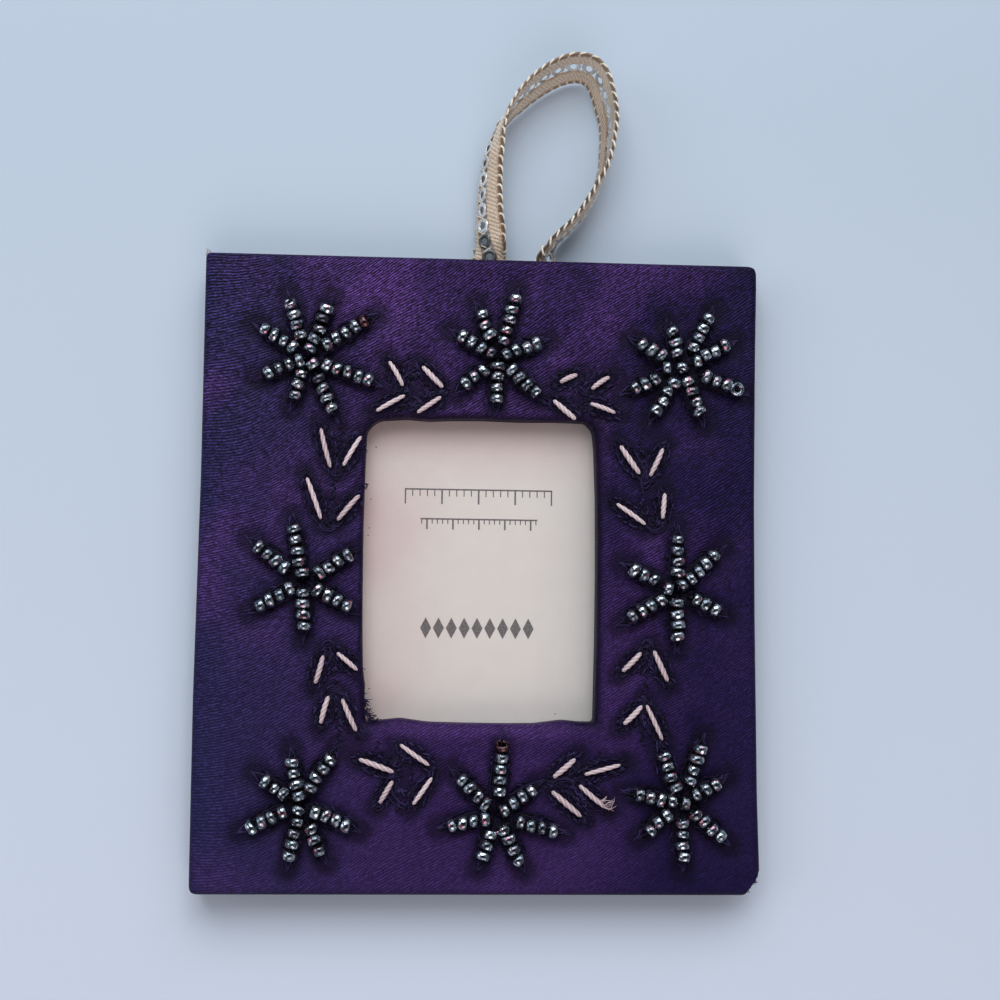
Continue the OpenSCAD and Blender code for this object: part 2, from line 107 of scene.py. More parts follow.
FLOWERS = (
    Flower("top_left", (-28.2, 33.8), (
        (108, 3.7, 4), (70, 1.4, 5), (34, 3.8, 5), (340, 3.4, 5), (297, 3.9, 4),
        (310, 1.4, 1), (253, 2.9, 3), (203, 1.4, 4), (148, 2.8, 4))),
    Flower("top_middle", (2.4, 34.4), (
        (112, 4, 3), (75, 2.9, 5), (22, 1.4, 4), (318, 2.9, 4), (268, 1.4, 4),
        (220, 3.2, 3), (150, 1.4, 4))),
    Flower("top_right", (32.3, 33.4), (
        (107, 2.6, 3), (62, 3.9, 4), (28, 2.6, 4), (340, 4.2, 4), (292, 2.4, 4),
        (240, 2.9, 4), (204, 4.9, 3), (183, 2.5, 1), (150, 4, 3), (60, 0, 1))),
    Flower("middle_left", (-28.0, -2.0), (
        (102, 1.4, 5), (32, 2.8, 4), (330, 2.6, 4), (271, 1.8, 4), (210, 2.5, 4),
        (143, 3.7, 4))),
    Flower("middle_right", (31.4, -2.8), (
        (88, 3, 4), (43, 1.4, 5), (336, 3.4, 3), (272, 1.9, 4), (211, 2.9, 4),
        (153, 4, 3), (160, 1.4, 1))),
    Flower("bottom_left", (-27.8, -36.8), (
        (101, 1.4, 4), (58, 3.1, 4), (336, 2.7, 4), (295, 4.2, 3), (260, 0.9, 5),
        (205, 2.9, 4), (147, 3, 3))),
    Flower("bottom_middle", (3.1, -38.4), (
        (87, 3.8, 5), (37, 1.4, 4), (346, 3.8, 4), (297, 2.3, 4), (251, 3.1, 3),
        (192, 2, 4), (136, 2.6, 4))),
    Flower("bottom_right", (32.3, -36.3), (
        (112, 2.6, 4), (70, 3.8, 4), (28, 2.7, 3), (320, 2.8, 4), (272, 3.1, 4),
        (220, 3, 3), (170, 1.6, 4), (345, 0.6, 1))),
)

SPRAYS = (
    Spray("top_left", (-11.4, 29.0), (
        (-2.6, 2.6, -60, 4.5), (3.3, 2.2, -45, 4.7), (-3.4, -2.2, 30, 5.2), (2.8, -2.3, 35, 4.6))),
    Spray("top_right", (16.4, 28.8), (
        (-2.5, 2.6, 25, 3), (2.7, 2, 35, 3.5), (-3.1, -2.5, -40, 4.7), (3.1, -2.1, -20, 4.3))),
    Spray("left_upper", (-23.4, 14.85), (
        (-1.6, 4.5, -75, 6.5), (2.6, 4.1, 60, 5.5), (-3.3, -3.6, -70, 7), (2.2, -5, 50, 5.3))),
    Spray("left_lower", (-22.7, -18.85), (
        (-2.6, 3, 75, 4.5), (1.8, 4.3, -40, 4.2), (-1.6, -3.3, 75, 4.4), (2.3, -4.1, -65, 5.5))),
    Spray("right_upper", (26.5, 14.25), (
        (-2.5, 4.1, -55, 5.5), (1.8, 3.8, 65, 5), (-2.3, -4.7, -35, 5.7), (3, -3.3, 85, 4.1))),
    Spray("right_lower", (26.6, -18.85), (
        (-2.2, 4.7, 45, 4.2), (2.5, 4.1, -65, 5.3), (-2, -3.7, 45, 4.1), (1.5, -4.9, -65, 6.1))),
    Spray("bottom_left", (-12.3, -32.4), (
        (-3.7, 1.6, -20, 5.8), (2.3, 3.3, -35, 5.6), (-2.1, -2.5, 60, 4), (3.6, -2.3, 55, 5.1))),
    Spray("bottom_right", (16.5, -33.6), (
        (-2.8, 2.6, 40, 4.5), (3.3, 2.4, 15, 5.9), (-2.4, -3, -40, 6.1), (1.7, -1.8, -40, 5.4))),
)

BEAD_PITCH = 1.75
BEAD_LENGTH = 1.65
PETAL_TIP = 2.4
LEAF_WIDTH = 2.8
LEAF_TIP = 1.4


# ---------------------------------------------------------------- meshes


def clear_selection() -> None:
    """Deselects everything, in object mode."""
    if bpy.context.object and bpy.context.object.mode != "OBJECT":
        bpy.ops.object.mode_set(mode="OBJECT")
    bpy.ops.object.select_all(action="DESELECT")


def activate(piece: bpy.types.Object) -> None:
    """Makes one piece the only selected and active one."""
    clear_selection()
    piece.select_set(True)
    bpy.context.view_layer.objects.active = piece


@contextmanager
def editing(picked: bool = False) -> Iterator[None]:
    """Opens the active piece in edit mode, with all of it selected unless parts are picked."""
    bpy.ops.object.mode_set(mode="EDIT")
    if not picked:
        bpy.ops.mesh.select_all(action="SELECT")
    yield
    bpy.ops.object.mode_set(mode="OBJECT")


def start_picking(kind: str) -> None:
    """Deselects every part of the active piece, so that edges or faces can be picked."""
    with editing(picked=True):
        bpy.ops.mesh.select_mode(type=kind)
        bpy.ops.mesh.select_all(action="DESELECT")


def coordinates(piece: bpy.types.Object) -> np.ndarray:
    """Returns the vertices of a piece as rows of x, y and z."""
    found = np.empty(len(piece.data.vertices) * 3)
    piece.data.vertices.foreach_get("co", found)
    return found.reshape(-1, 3)


def move_vertices(piece: bpy.types.Object, places: np.ndarray) -> None:
    """Puts the vertices of a piece at new places, given as rows of x, y and z."""
    piece.data.vertices.foreach_set("co", places.astype(np.float32).ravel())
    piece.data.update()


def add_modifier(piece: bpy.types.Object, kind: str, **settings: float | str | bool) -> None:
    """Adds a modifier to a piece and applies it.

    Args:
        piece: the piece.
        kind: the modifier's type.
        settings: the modifier's own settings, by name.
    """
    activate(piece)
    modifier = piece.modifiers.new(kind.lower(), kind)
    for name, value in settings.items():
        setattr(modifier, name, value)
    bpy.ops.object.modifier_apply(modifier=modifier.name)


def smooth(piece: bpy.types.Object) -> None:
    """Shades a piece smooth."""
    piece.data.polygons.foreach_set("use_smooth", np.ones(len(piece.data.polygons), bool))


def set_attribute(piece: bpy.types.Object, name: str, values: np.ndarray) -> None:
    """Gives each vertex of a piece a number that its material can read."""
    attribute = piece.data.attributes.new(name, "FLOAT", "POINT")
    attribute.data.foreach_set("value", values.astype(np.float32))


def dress(piece: bpy.types.Object, finish: bpy.types.Material, node: str = "") -> None:
    """Gives a piece its finish and body, and hides the node that it stands for, if any.

    Args:
        piece: the piece.
        finish: its material.
        node: the CAD node that the piece stands for.
    """
    piece.data.materials.append(finish)
    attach(piece, BODY)
    if node:
        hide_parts(node)
    LOG.info("%s: %d faces", piece.name, len(piece.data.polygons))


def turned(angle: float, axis: str | Vector) -> Matrix:
    """Returns the matrix that turns a template by an angle in degrees round an axis."""
    return Matrix.Rotation(math.radians(angle), 4, axis)


def stand(place: Sequence[float], turn: Matrix) -> Matrix:
    """Returns the matrix that stands a template in millimetres at a place, turned."""
    return Matrix.Scale(MM, 4) @ Matrix.Translation(place) @ turn.to_4x4()


@dataclass
class Template:
    """A small mesh that is modelled once and copied many times."""

    points: np.ndarray
    faces: list[list[int]]
    tones: np.ndarray | float = 0.0

    @classmethod
    def take(cls, piece: bpy.types.Object) -> "Template":
        """Reads a modelled piece as a template, and removes the piece."""
        made = cls(coordinates(piece), [list(face.vertices) for face in piece.data.polygons])
        bpy.data.objects.remove(piece)
        return made

    def copies(self, name: str, places: np.ndarray, tones: np.ndarray) -> bpy.types.Object:
        """Makes one piece of many copies, each with its own mesh.

        Args:
            name: the piece's name.
            places: the vertices of every copy, copy by copy.
            tones: one number a copy, which the material reads.

        Returns:
            The new piece.
        """
        size = len(self.points)
        faces = [[v + i * size for v in face] for i in range(len(places)) for face in self.faces]
        mesh = bpy.data.meshes.new(name)
        mesh.from_pydata(places.reshape(-1, 3).tolist(), [], faces)
        piece = bpy.data.objects.new(name, mesh)
        bpy.context.scene.collection.objects.link(piece)
        smooth(piece)
        own = np.broadcast_to(self.tones, size)
        set_attribute(piece, "tone", (np.asarray(tones)[:, None] + own).ravel())
        return piece

    def placed(self, name: str, matrices: Sequence[Matrix], tones: np.ndarray) -> bpy.types.Object:
        """Makes one piece of rigid copies, one for each matrix."""
        where = np.array([np.array(m) for m in matrices])
        places = np.einsum("nij,vj->nvi", where[:, :3, :3], self.points) + where[:, None, :3, 3]
        return self.copies(name, places, tones)


class Strand:
    """A short length of thread: a tapered tube, modelled once along X from 0 to 1."""

    def __init__(self, sides: int, cuts: Sequence[float], tip: float) -> None:
        """Models the tube.

        Args:
            sides: faces round the thread.
            cuts: where along the thread it has its rings.
            tip: how thick the thread's two ends are, as a share.
        """
        clear_selection()
        bpy.ops.mesh.primitive_cylinder_add(
            vertices=sides, radius=1, depth=1, location=(0.5, 0, 0), rotation=(0, math.pi / 2, 0))
        piece = bpy.context.object
        bpy.ops.object.transform_apply(location=True, rotation=True, scale=True)
        for cut in cuts:
            with editing():
                bpy.ops.mesh.bisect(plane_co=(cut, 0, 0), plane_no=(1, 0, 0))
        points = coordinates(piece)
        ends = (points[:, 0] < 0.001) | (points[:, 0] > 0.999)
        points[ends, 1:] *= tip
        move_vertices(piece, points)
        self.template = Template.take(piece)

    def ply(self, plies: int, depth: float, turns: float) -> "Strand":
        """Gives the thread lobes that wind round it, like twisted plies, and slims its ends.

        Args:
            plies: how many lobes there are.
            depth: how deep the grooves are, as a share of the radius.
            turns: how often the lobes wind round the thread's length.

        Returns:
            The strand itself.
        """
        points = self.template.points
        angle = np.arctan2(points[:, 2], points[:, 1])
        lobe = np.cos(plies * (angle - 2 * math.pi * turns * points[:, 0]))
        slim = 1 - 0.38 * np.abs(2 * points[:, 0] - 1) ** 2.5
        points[:, 1:] *= (slim * (1 - depth * (1 - lobe) / 2))[:, None]
        # Painted light and shade: the lobes' crests are painted lighter and their grooves darker.
        self.template.tones = 0.35 * lobe
        return self

    def lay(self, name: str, threads: Sequence["Thread"]) -> bpy.types.Object:
        """Lays a copy of the thread along each given line.

        Args:
            name: the piece's name.
            threads: the lines, each with its thickness and tone.

        Returns:
            One piece of all the threads, in metres.
        """
        t = self.template.points[:, 0][None, :, None]
        lines = np.array([[a.start, a.middle, a.end] for a in threads], float)
        radii = np.array([a.radius for a in threads])[:, None]
        start, middle, end = (lines[:, i][:, None, :] for i in range(3))
        bend = 2 * middle - (start + end) / 2
        centre = (1 - t) ** 2 * start + 2 * t * (1 - t) * bend + t ** 2 * end
        way = 2 * (1 - t) * (bend - start) + 2 * t * (end - bend)
        side = np.stack([-way[..., 1], way[..., 0], np.zeros_like(way[..., 0])], -1)
        side /= np.linalg.norm(side, axis=-1, keepdims=True) + 1e-9
        up = np.cross(way, side)
        up /= np.linalg.norm(up, axis=-1, keepdims=True) + 1e-9
        across = (self.template.points[:, 1][None] * radii)[..., None]
        above = (self.template.points[:, 2][None] * radii)[..., None]
        places = (centre + side * across + up * above) * MM
        return self.template.copies(name, places, np.array([a.tone for a in threads]))


@dataclass
class Thread:
    """A line that a thread follows, in millimetres, through its start, middle and end."""

    start: Place
    middle: Place
    end: Place
    radius: float
    tone: float


def unit(angle: float) -> np.ndarray:
    """Returns the flat direction at an angle in degrees."""
    return np.array([math.cos(math.radians(angle)), math.sin(math.radians(angle))])


def axes(angle: float) -> tuple[np.ndarray, np.ndarray]:
    """Returns the flat directions along an angle in degrees and to its left."""
    return unit(angle), unit(angle + 90)


def heading(way: np.ndarray) -> float:
    """Returns the angle of a flat direction, in degrees."""
    return math.degrees(math.atan2(way[1], way[0]))


def string_end(first: float, count: int) -> float:
    """Returns how far a string of beads reaches from its flower's middle."""
    return first + (count - 1) * BEAD_PITCH + BEAD_LENGTH / 2


def rough(x: float, y: float, size: float, seed: float) -> float:
    """Returns smooth noise from -1 to 1 at a place, with hills of a given size."""
    return noise.noise(Vector((x / size, y / size, seed)))


def hills(points: np.ndarray, size: float, seed: float) -> np.ndarray:
    """Returns that noise at every point."""
    return np.array([rough(x, y, size, seed) for x, y, _ in points])


def follow(at: np.ndarray, line: Line) -> np.ndarray:
    """Returns the height of a broken line at some places, from its places and heights."""
    return np.interp(at, *zip(*line))


def bell(distance: np.ndarray, width: float) -> np.ndarray:
    """Returns 1 at no distance, and less further off, down to nothing at a few widths."""
    return np.exp(-(distance / width) ** 2)


def lens_half_width(t: np.ndarray | float, width: float) -> np.ndarray | float:
    """Returns half the width of a pointed leaf at a share of its length."""
    return width / 2 * (4 * t * (1 - t)) ** 0.8


# ---------------------------------------------------------------- finishes

Colour = tuple[float, ...]


def linear(red: float, green: float, blue: float) -> Colour:
    """Returns a colour as a shader wants it, from parts of 0 to 255 as seen."""
    parts = [c / 255 for c in (red, green, blue)]
    light = [c / 12.92 if c <= 0.04045 else ((c + 0.055) / 1.055) ** 2.4 for c in parts]
    return (*light, 1.0)


def sum_method(kind: str, swapped: bool = False) -> Callable[["Value", "Value | float"], "Value"]:
    """Returns a method of Value that adds one Math node.

    Args:
        kind: the node's operation.
        swapped: True where the value stands on the right of the sign.
    """
    def method(self: "Value", other: "Value | float") -> "Value":
        """Adds the node."""
        first, second = (other, self) if swapped else (self, other)
        return self.graph.math(kind, first, second)

    return method


class Value:
    """A result inside a graph, with which sums are written as usual."""

    def __init__(self, graph: "Graph", socket: bpy.types.NodeSocket) -> None:
        """Takes an output of one of the graph's nodes."""
        self.graph, self.socket = graph, socket

    __add__, __radd__ = sum_method("ADD"), sum_method("ADD", True)
    __sub__, __rsub__ = sum_method("SUBTRACT"), sum_method("SUBTRACT", True)
    __mul__ = sum_method("MULTIPLY")
    __lt__, __gt__ = sum_method("LESS_THAN"), sum_method("GREATER_THAN")

    def __abs__(self) -> "Value":
        """Returns the size of the value without its sign."""
        return self.graph.math("ABSOLUTE", self)


class Graph:
    """A tree of shader nodes, built step by step."""

    def __init__(self, tree: bpy.types.NodeTree) -> None:
        """Takes the tree that the nodes go into."""
        self.tree = tree

    def feed(self, sockets: Mapping, inputs: Mapping[str | int, object]) -> None:
        """Sets sockets, by name or number, to plain values or links them to results."""
        for key, value in inputs.items():
            if isinstance(value, Value):
                self.tree.links.new(value.socket, sockets[key])
            else:
                sockets[key].default_value = value

    def node(self, kind: str, inputs: Mapping[str | int, object], **settings: object
             ) -> bpy.types.Node:
        """Adds a node.

        Args:
            kind: the node's type, without its ShaderNode prefix.
            inputs: a result or a plain value for each input, by name or number.
            settings: the node's own settings.

        Returns:
            The node.
        """
        made = self.tree.nodes.new("ShaderNode" + kind)
        for name, value in settings.items():
            setattr(made, name, value)
        self.feed(made.inputs, inputs)
        return made

    def out(self, output: str | int, kind: str, inputs: Mapping[str | int, object],
            **settings: object) -> Value:
        """Adds a node and returns one of its results."""
        return Value(self, self.node(kind, inputs, **settings).outputs[output])

    def place(self) -> Value:
        """Returns the place on the piece, in millimetres."""
        source = self.out("Object", "TexCoord", {})
        return self.out(0, "VectorMath", {0: source, 3: 1 / MM}, operation="SCALE")

    def split(self, place: Value) -> tuple[Value, ...]:
        """Returns the x, y and z of a place."""
        return tuple(Value(self, part) for part in self.node("SeparateXYZ", {0: place}).outputs)

    def attribute(self, name: str) -> Value:
        """Returns a number that the piece's vertices carry."""
        return self.out("Fac", "Attribute", {}, attribute_name=name)

    def math(self, operation: str, first: Value | float, second: Value | float = 0.0) -> Value:
        """Returns the result of a sum on one or two numbers."""
        return self.out(0, "Math", {0: first, 1: second}, operation=operation)

    def dot(self, first: Value, second: Sequence[float]) -> Value:
        """Returns the dot product of two vectors."""
        return self.out("Value", "VectorMath", {0: first, 1: second}, operation="DOT_PRODUCT")

    def noise(self, place: Value, size: float, detail: float = 2.0, rough: float = 0.5) -> Value:
        """Returns noise from 0 to 1 with patches of a given size in millimetres."""
        return self.out("Fac", "TexNoise", {
            "Vector": place, "Scale": 1 / size, "Detail": detail, "Roughness": rough})

    def range(self, value: Value, low: float, high: float, to_low: float = 0,
              to_high: float = 1, ease: str = "LINEAR") -> Value:
        """Returns a number moved from one range to another, and kept inside it."""
        return self.out(0, "MapRange", {0: value, 1: low, 2: high, 3: to_low, 4: to_high},
                        interpolation_type=ease)

    def mix(self, share: Value | float, first: object, second: object,
            blend: str = "MIX") -> Value:
        """Returns a mixture of two colours."""
        return self.out(
            2, "Mix", {0: share, 6: first, 7: second}, data_type="RGBA", blend_type=blend)

    def bump(self, height: Value, depth: float, strength: float = 1.0) -> Value:
        """Returns a normal from a height of 0 to 1 that stands for a depth in millimetres."""
        return self.out(
            0, "Bump", {"Height": height, "Distance": depth * MM, "Strength": strength})

    def ribs(self, place: Value, pitch: float, sway: Value | float = 0.0) -> Value:
        """Returns ribs from 0 to 1 that run along X.

        Args:
            place: where, in millimetres.
            pitch: the distance from rib to rib, in millimetres.
            sway: how far the ribs are pushed aside, in ribs.
        """
        phase = (self.dot(place, (0, 1 / pitch, 0)) + sway) * (2 * math.pi)
        return self.range(self.math("SINE", phase), -1, 1)

    def ramp(self, value: Value, stops: Sequence[tuple[float, Colour]]) -> Value:
        """Returns a colour picked from a row of colours by a number of 0 to 1."""
        made = self.node("ValToRGB", {0: value})
        bar = made.color_ramp
        while len(bar.elements) > 1:
            bar.elements.remove(bar.elements[-1])
        bar.elements[0].position, bar.elements[0].color = stops[0]
        for position, colour in stops[1:]:
            bar.elements.new(position).color = colour
        return Value(self, made.outputs[0])

    def stretch(self, place: Value, turn: float, along: float, across: float) -> Value:
        """Returns the place turned and scaled, for patterns that are longer one way.

        Args:
            place: where, in millimetres.
            turn: the angle of the long way, in degrees from X.
            along: size of the pattern the long way, in millimetres.
            across: its size the short way.
        """
        level = self.out(0, "VectorRotate", {"Vector": place, "Angle": -math.radians(turn)},
                         rotation_type="Z_AXIS")
        scale = (1 / along, 1 / across, 1 / along)
        return self.out(0, "VectorMath", {0: level, 1: scale}, operation="MULTIPLY")


class Paint(Graph):
    """A material's nodes, round one principled shader."""

    def __init__(self, name: str) -> None:
        """Starts a material of that name."""
        self.material = bpy.data.materials.new(name)
        self.material.use_nodes = True
        super().__init__(self.material.node_tree)
        self.tree.nodes.clear()
        self.shader = self.tree.nodes.new("ShaderNodeBsdfPrincipled")
        output = self.tree.nodes.new("ShaderNodeOutputMaterial")
        self.tree.links.new(self.shader.outputs[0], output.inputs[0])

    def finish(self, **inputs: object) -> bpy.types.Material:
        """Sets the principled shader's inputs by name, and returns the material."""
        named = {key.replace("_", " "): value for key, value in inputs.items()}
        self.feed(self.shader.inputs, named)
        return self.material


@dataclass(frozen=True)
class Satin:
    """Duchess satin: fine slanted dashes, in its relief and in painted sheen, that sway and break
    up.

    across: the cloth's colours from the left to the right edge, with painted sheen: lighter at the
    left and middle, darker at the right.
    level_until, slope: the x up to which its threads lie level, and how they rise past it.
    """

    name: str
    across: tuple[tuple[float, Colour], ...] = (
        (0.0, linear(37, 34, 75)), (0.12, linear(42, 33, 74)), (0.35, linear(50, 32, 80)),
        (0.6, linear(46, 29, 76)), (0.8, linear(29, 18, 60)), (0.9, linear(22, 14, 54)),
        (1.0, linear(27, 19, 58)))
    # The colour of the painted sheen and of the painted highlight on the roll.
    bright: Colour = linear(76, 47, 106)
    # The colour of the painted shade.
    dark: Colour = linear(8, 4, 20)
    pitch: float = 0.46
    level_until: float = -37
    slope: float = 0.3

    def thread_way(self, g: Graph, place: Value) -> Value:
        """Returns places whose X runs along the cloth's threads."""
        x, y, z = g.split(place)
        inward = x - self.level_until
        root = g.math("SQRT", inward * inward + 20)
        return g.out(0, "CombineXYZ", {0: x, 1: y - (root + inward) * self.slope, 2: z})

    def weave(self, g: Graph, place: Value) -> Value:
        """Returns the height of the cloth, from 0 to 1: swaying ribs, broken up by dashes."""
        thread = self.thread_way(g, place)
        sway = g.noise(place, 24, 1.5) * 14
        fine = g.noise(place, 1.1, 2) * 0.7
        ribs = g.ribs(thread, self.pitch, sway + fine)
        dashes = g.range(g.noise(g.stretch(thread, 0, 1.1, 0.28), 1, 2, 0.6), 0.34, 0.66)
        short = g.range(g.noise(g.stretch(thread, -8, 0.45, 0.19), 1, 2, 0.6), 0.32, 0.68)
        return ribs * 0.35 + dashes * 0.25 + short * 0.4

    def make(self) -> bpy.types.Material:
        """Builds the material."""
        g = Paint(self.name)
        place = g.place()
        cloth = self.weave(g, place)
        x, y, _ = g.split(place)
        # Painted sheen: lighter at the left and darker at the right, with lighter patches of
        # painted sheen towards the top that fade at the right.
        base = g.ramp(g.range(x, -45, 45), self.across)
        patches = g.range(g.noise(place, 17, 2), 0.48, 0.72)
        upper = g.range(y, -60, 40, 0.2, 0.7) * g.range(x, 22, 42, 1, 0.3)
        base = g.mix(patches * upper, base, self.bright)
        # Painted highlight on the roll under the window.
        base = g.mix(g.attribute("painted_highlight") * 0.55, base, self.bright)
        # Painted sheen on the weave: its crests are painted lighter and its hollows darker, more so
        # towards the top.
        light = g.range(cloth, 0.22, 0.86)
        contrast = g.range(y, -40, 45, 1.4, 3.3)
        shine = g.math("MAXIMUM", 0.99 + (light * light - 0.28) * contrast, 0.1)
        colour = g.mix(1.0, base, shine, "MULTIPLY")
        # Painted shade: the cloth is darkened near the stitching, round the window's rim and down
        # the walls.
        colour = g.mix(g.attribute("shade") * 0.88, colour, self.dark)
        return g.finish(Base_Color=colour, Roughness=0.5, Specular_IOR_Level=0.08,
                        Normal=g.bump(cloth, 0.07, 0.8))


@dataclass(frozen=True)
class Yarn:
    """A thread finish: fine slanted twist, with a tone that changes from thread to thread."""

    name: str
    dark: Colour
    light: Colour
    sheen: float
    twist: float = 0.22

    def make(self) -> bpy.types.Material:
        """Builds the material."""
        g = Paint(self.name)
        place = g.place()
        twist = g.noise(place, self.twist, 3, 0.7)
        tone = g.attribute("tone") + g.range(twist, 0.3, 0.7, -0.18, 0.18)
        colour = g.mix(g.range(tone, 0, 1), self.dark, self.light)
        return g.finish(
            Base_Color=colour, Roughness=0.55, Specular_IOR_Level=0.15, Sheen_Weight=self.sheen,
            Sheen_Roughness=0.4, Normal=g.bump(twist, 0.05, 0.6))


@dataclass(frozen=True)
class BeadGlass:
    """Dark lustred glass: near black, with streaks of pale green-grey lustre in its skin that also
    shape its highlights, as painted highlight, and streaks of rose that stand in for a rose
    reflection, as painted reflection.
    """

    name: str = "bead_glass"

    def make(self) -> bpy.types.Material:
        """Builds the material."""
        g = Paint(self.name)
        place = g.place()
        tone = g.attribute("tone")
        body = g.mix(g.range(tone, 0, 1), linear(52, 60, 74), linear(102, 116, 130))
        # Streaks of pale lustre in the metal's colour, which also give the highlights their shapes:
        # partly lustre, partly painted highlight.
        lustre_and_highlight = g.range(g.noise(place, 0.8, 2, 0.6), 0.5, 0.6)
        colour = g.mix(lustre_and_highlight, body, linear(200, 212, 222))
        # Painted reflection: rose streaks in the metal's colour stand in for a rose reflection.
        offset = g.out(0, "VectorMath", {0: place, 1: (31, 17, 5)})
        painted_pink_light = g.range(g.noise(offset, 0.9, 1.5), 0.6, 0.68)
        colour = g.mix(painted_pink_light * 0.8, colour, linear(186, 104, 132))
        colour = g.mix(tone > 1.5, colour, linear(74, 34, 44))
        colour = g.mix(tone < -0.5, colour, linear(44, 42, 60))
        dents = g.noise(place, 1.1, 1)
        return g.finish(
            Base_Color=colour, Metallic=0.95, Roughness=0.1, IOR=1.6, Coat_Weight=0.9,
            Coat_Roughness=0.03, Normal=g.bump(dents, 0.16, 0.7))


@dataclass(frozen=True)
class Braid:
    """The ribbon's woven braid: beige, ribbed across; its tone carries painted light and shade,
    which makes it darker between the ribs.
    """

    name: str = "ribbon_braid"

    def make(self) -> bpy.types.Material:
        """Builds the material."""
        g = Paint(self.name)
        place = g.place()
        tone = g.attribute("tone")
        fibre = g.noise(place, 0.25, 3, 0.7)
        mixed = tone + g.range(fibre, 0.3, 0.7, -0.25, 0.25)
        colour = g.ramp(g.range(mixed, -0.3, 1.15), (
            (0.0, linear(84, 64, 48)), (0.25, linear(136, 112, 90)), (0.6, linear(200, 180, 158)),
            (1.0, linear(242, 236, 220))))
        return g.finish(
            Base_Color=colour, Roughness=0.6, Specular_IOR_Level=0.3, Sheen_Weight=0.7,
            Sheen_Roughness=0.45, Normal=g.bump(fibre, 0.06, 0.6))


@dataclass(frozen=True)
class Foil:
    """Silver foil of the sequins, a little scuffed."""

    name: str = "sequin_foil"

    def make(self) -> bpy.types.Material:
        """Builds the material."""
        g = Paint(self.name)
        place = g.place()
        scuff = g.noise(place, 0.5, 3, 0.6)
        bright = g.mix(scuff, linear(206, 212, 214), linear(250, 250, 250))
        # Painted shade: a low tone gives the dark colour of the sequins that don't catch the light.
        colour = g.mix(g.range(g.attribute("tone"), 0, 1), linear(34, 38, 42), bright)
        return g.finish(
            Base_Color=colour, Metallic=0.5, Roughness=g.range(scuff, 0.3, 0.7, 0.12, 0.3),
            Normal=g.bump(scuff, 0.02, 0.4))


@dataclass(frozen=True)
class Stock:
    """Paper and board: mottled pulp with short fibres."""

    name: str
    pale: Colour
    dark: Colour
    fibre: float = 0.3

    def make(self) -> bpy.types.Material:
        """Builds the material."""
        g = Paint(self.name)
        place = g.place()
        pulp = g.noise(place, self.fibre * 8, 4, 0.6)
        fibres = g.noise(place, self.fibre, 3, 0.7)
        colour = g.mix(g.range(pulp, 0.3, 0.7), self.dark, self.pale)
        colour = g.mix(0.12, colour, g.mix(fibres, self.dark, self.pale))
        return g.finish(Base_Color=colour, Roughness=0.85, Normal=g.bump(fibres, 0.03, 0.5))


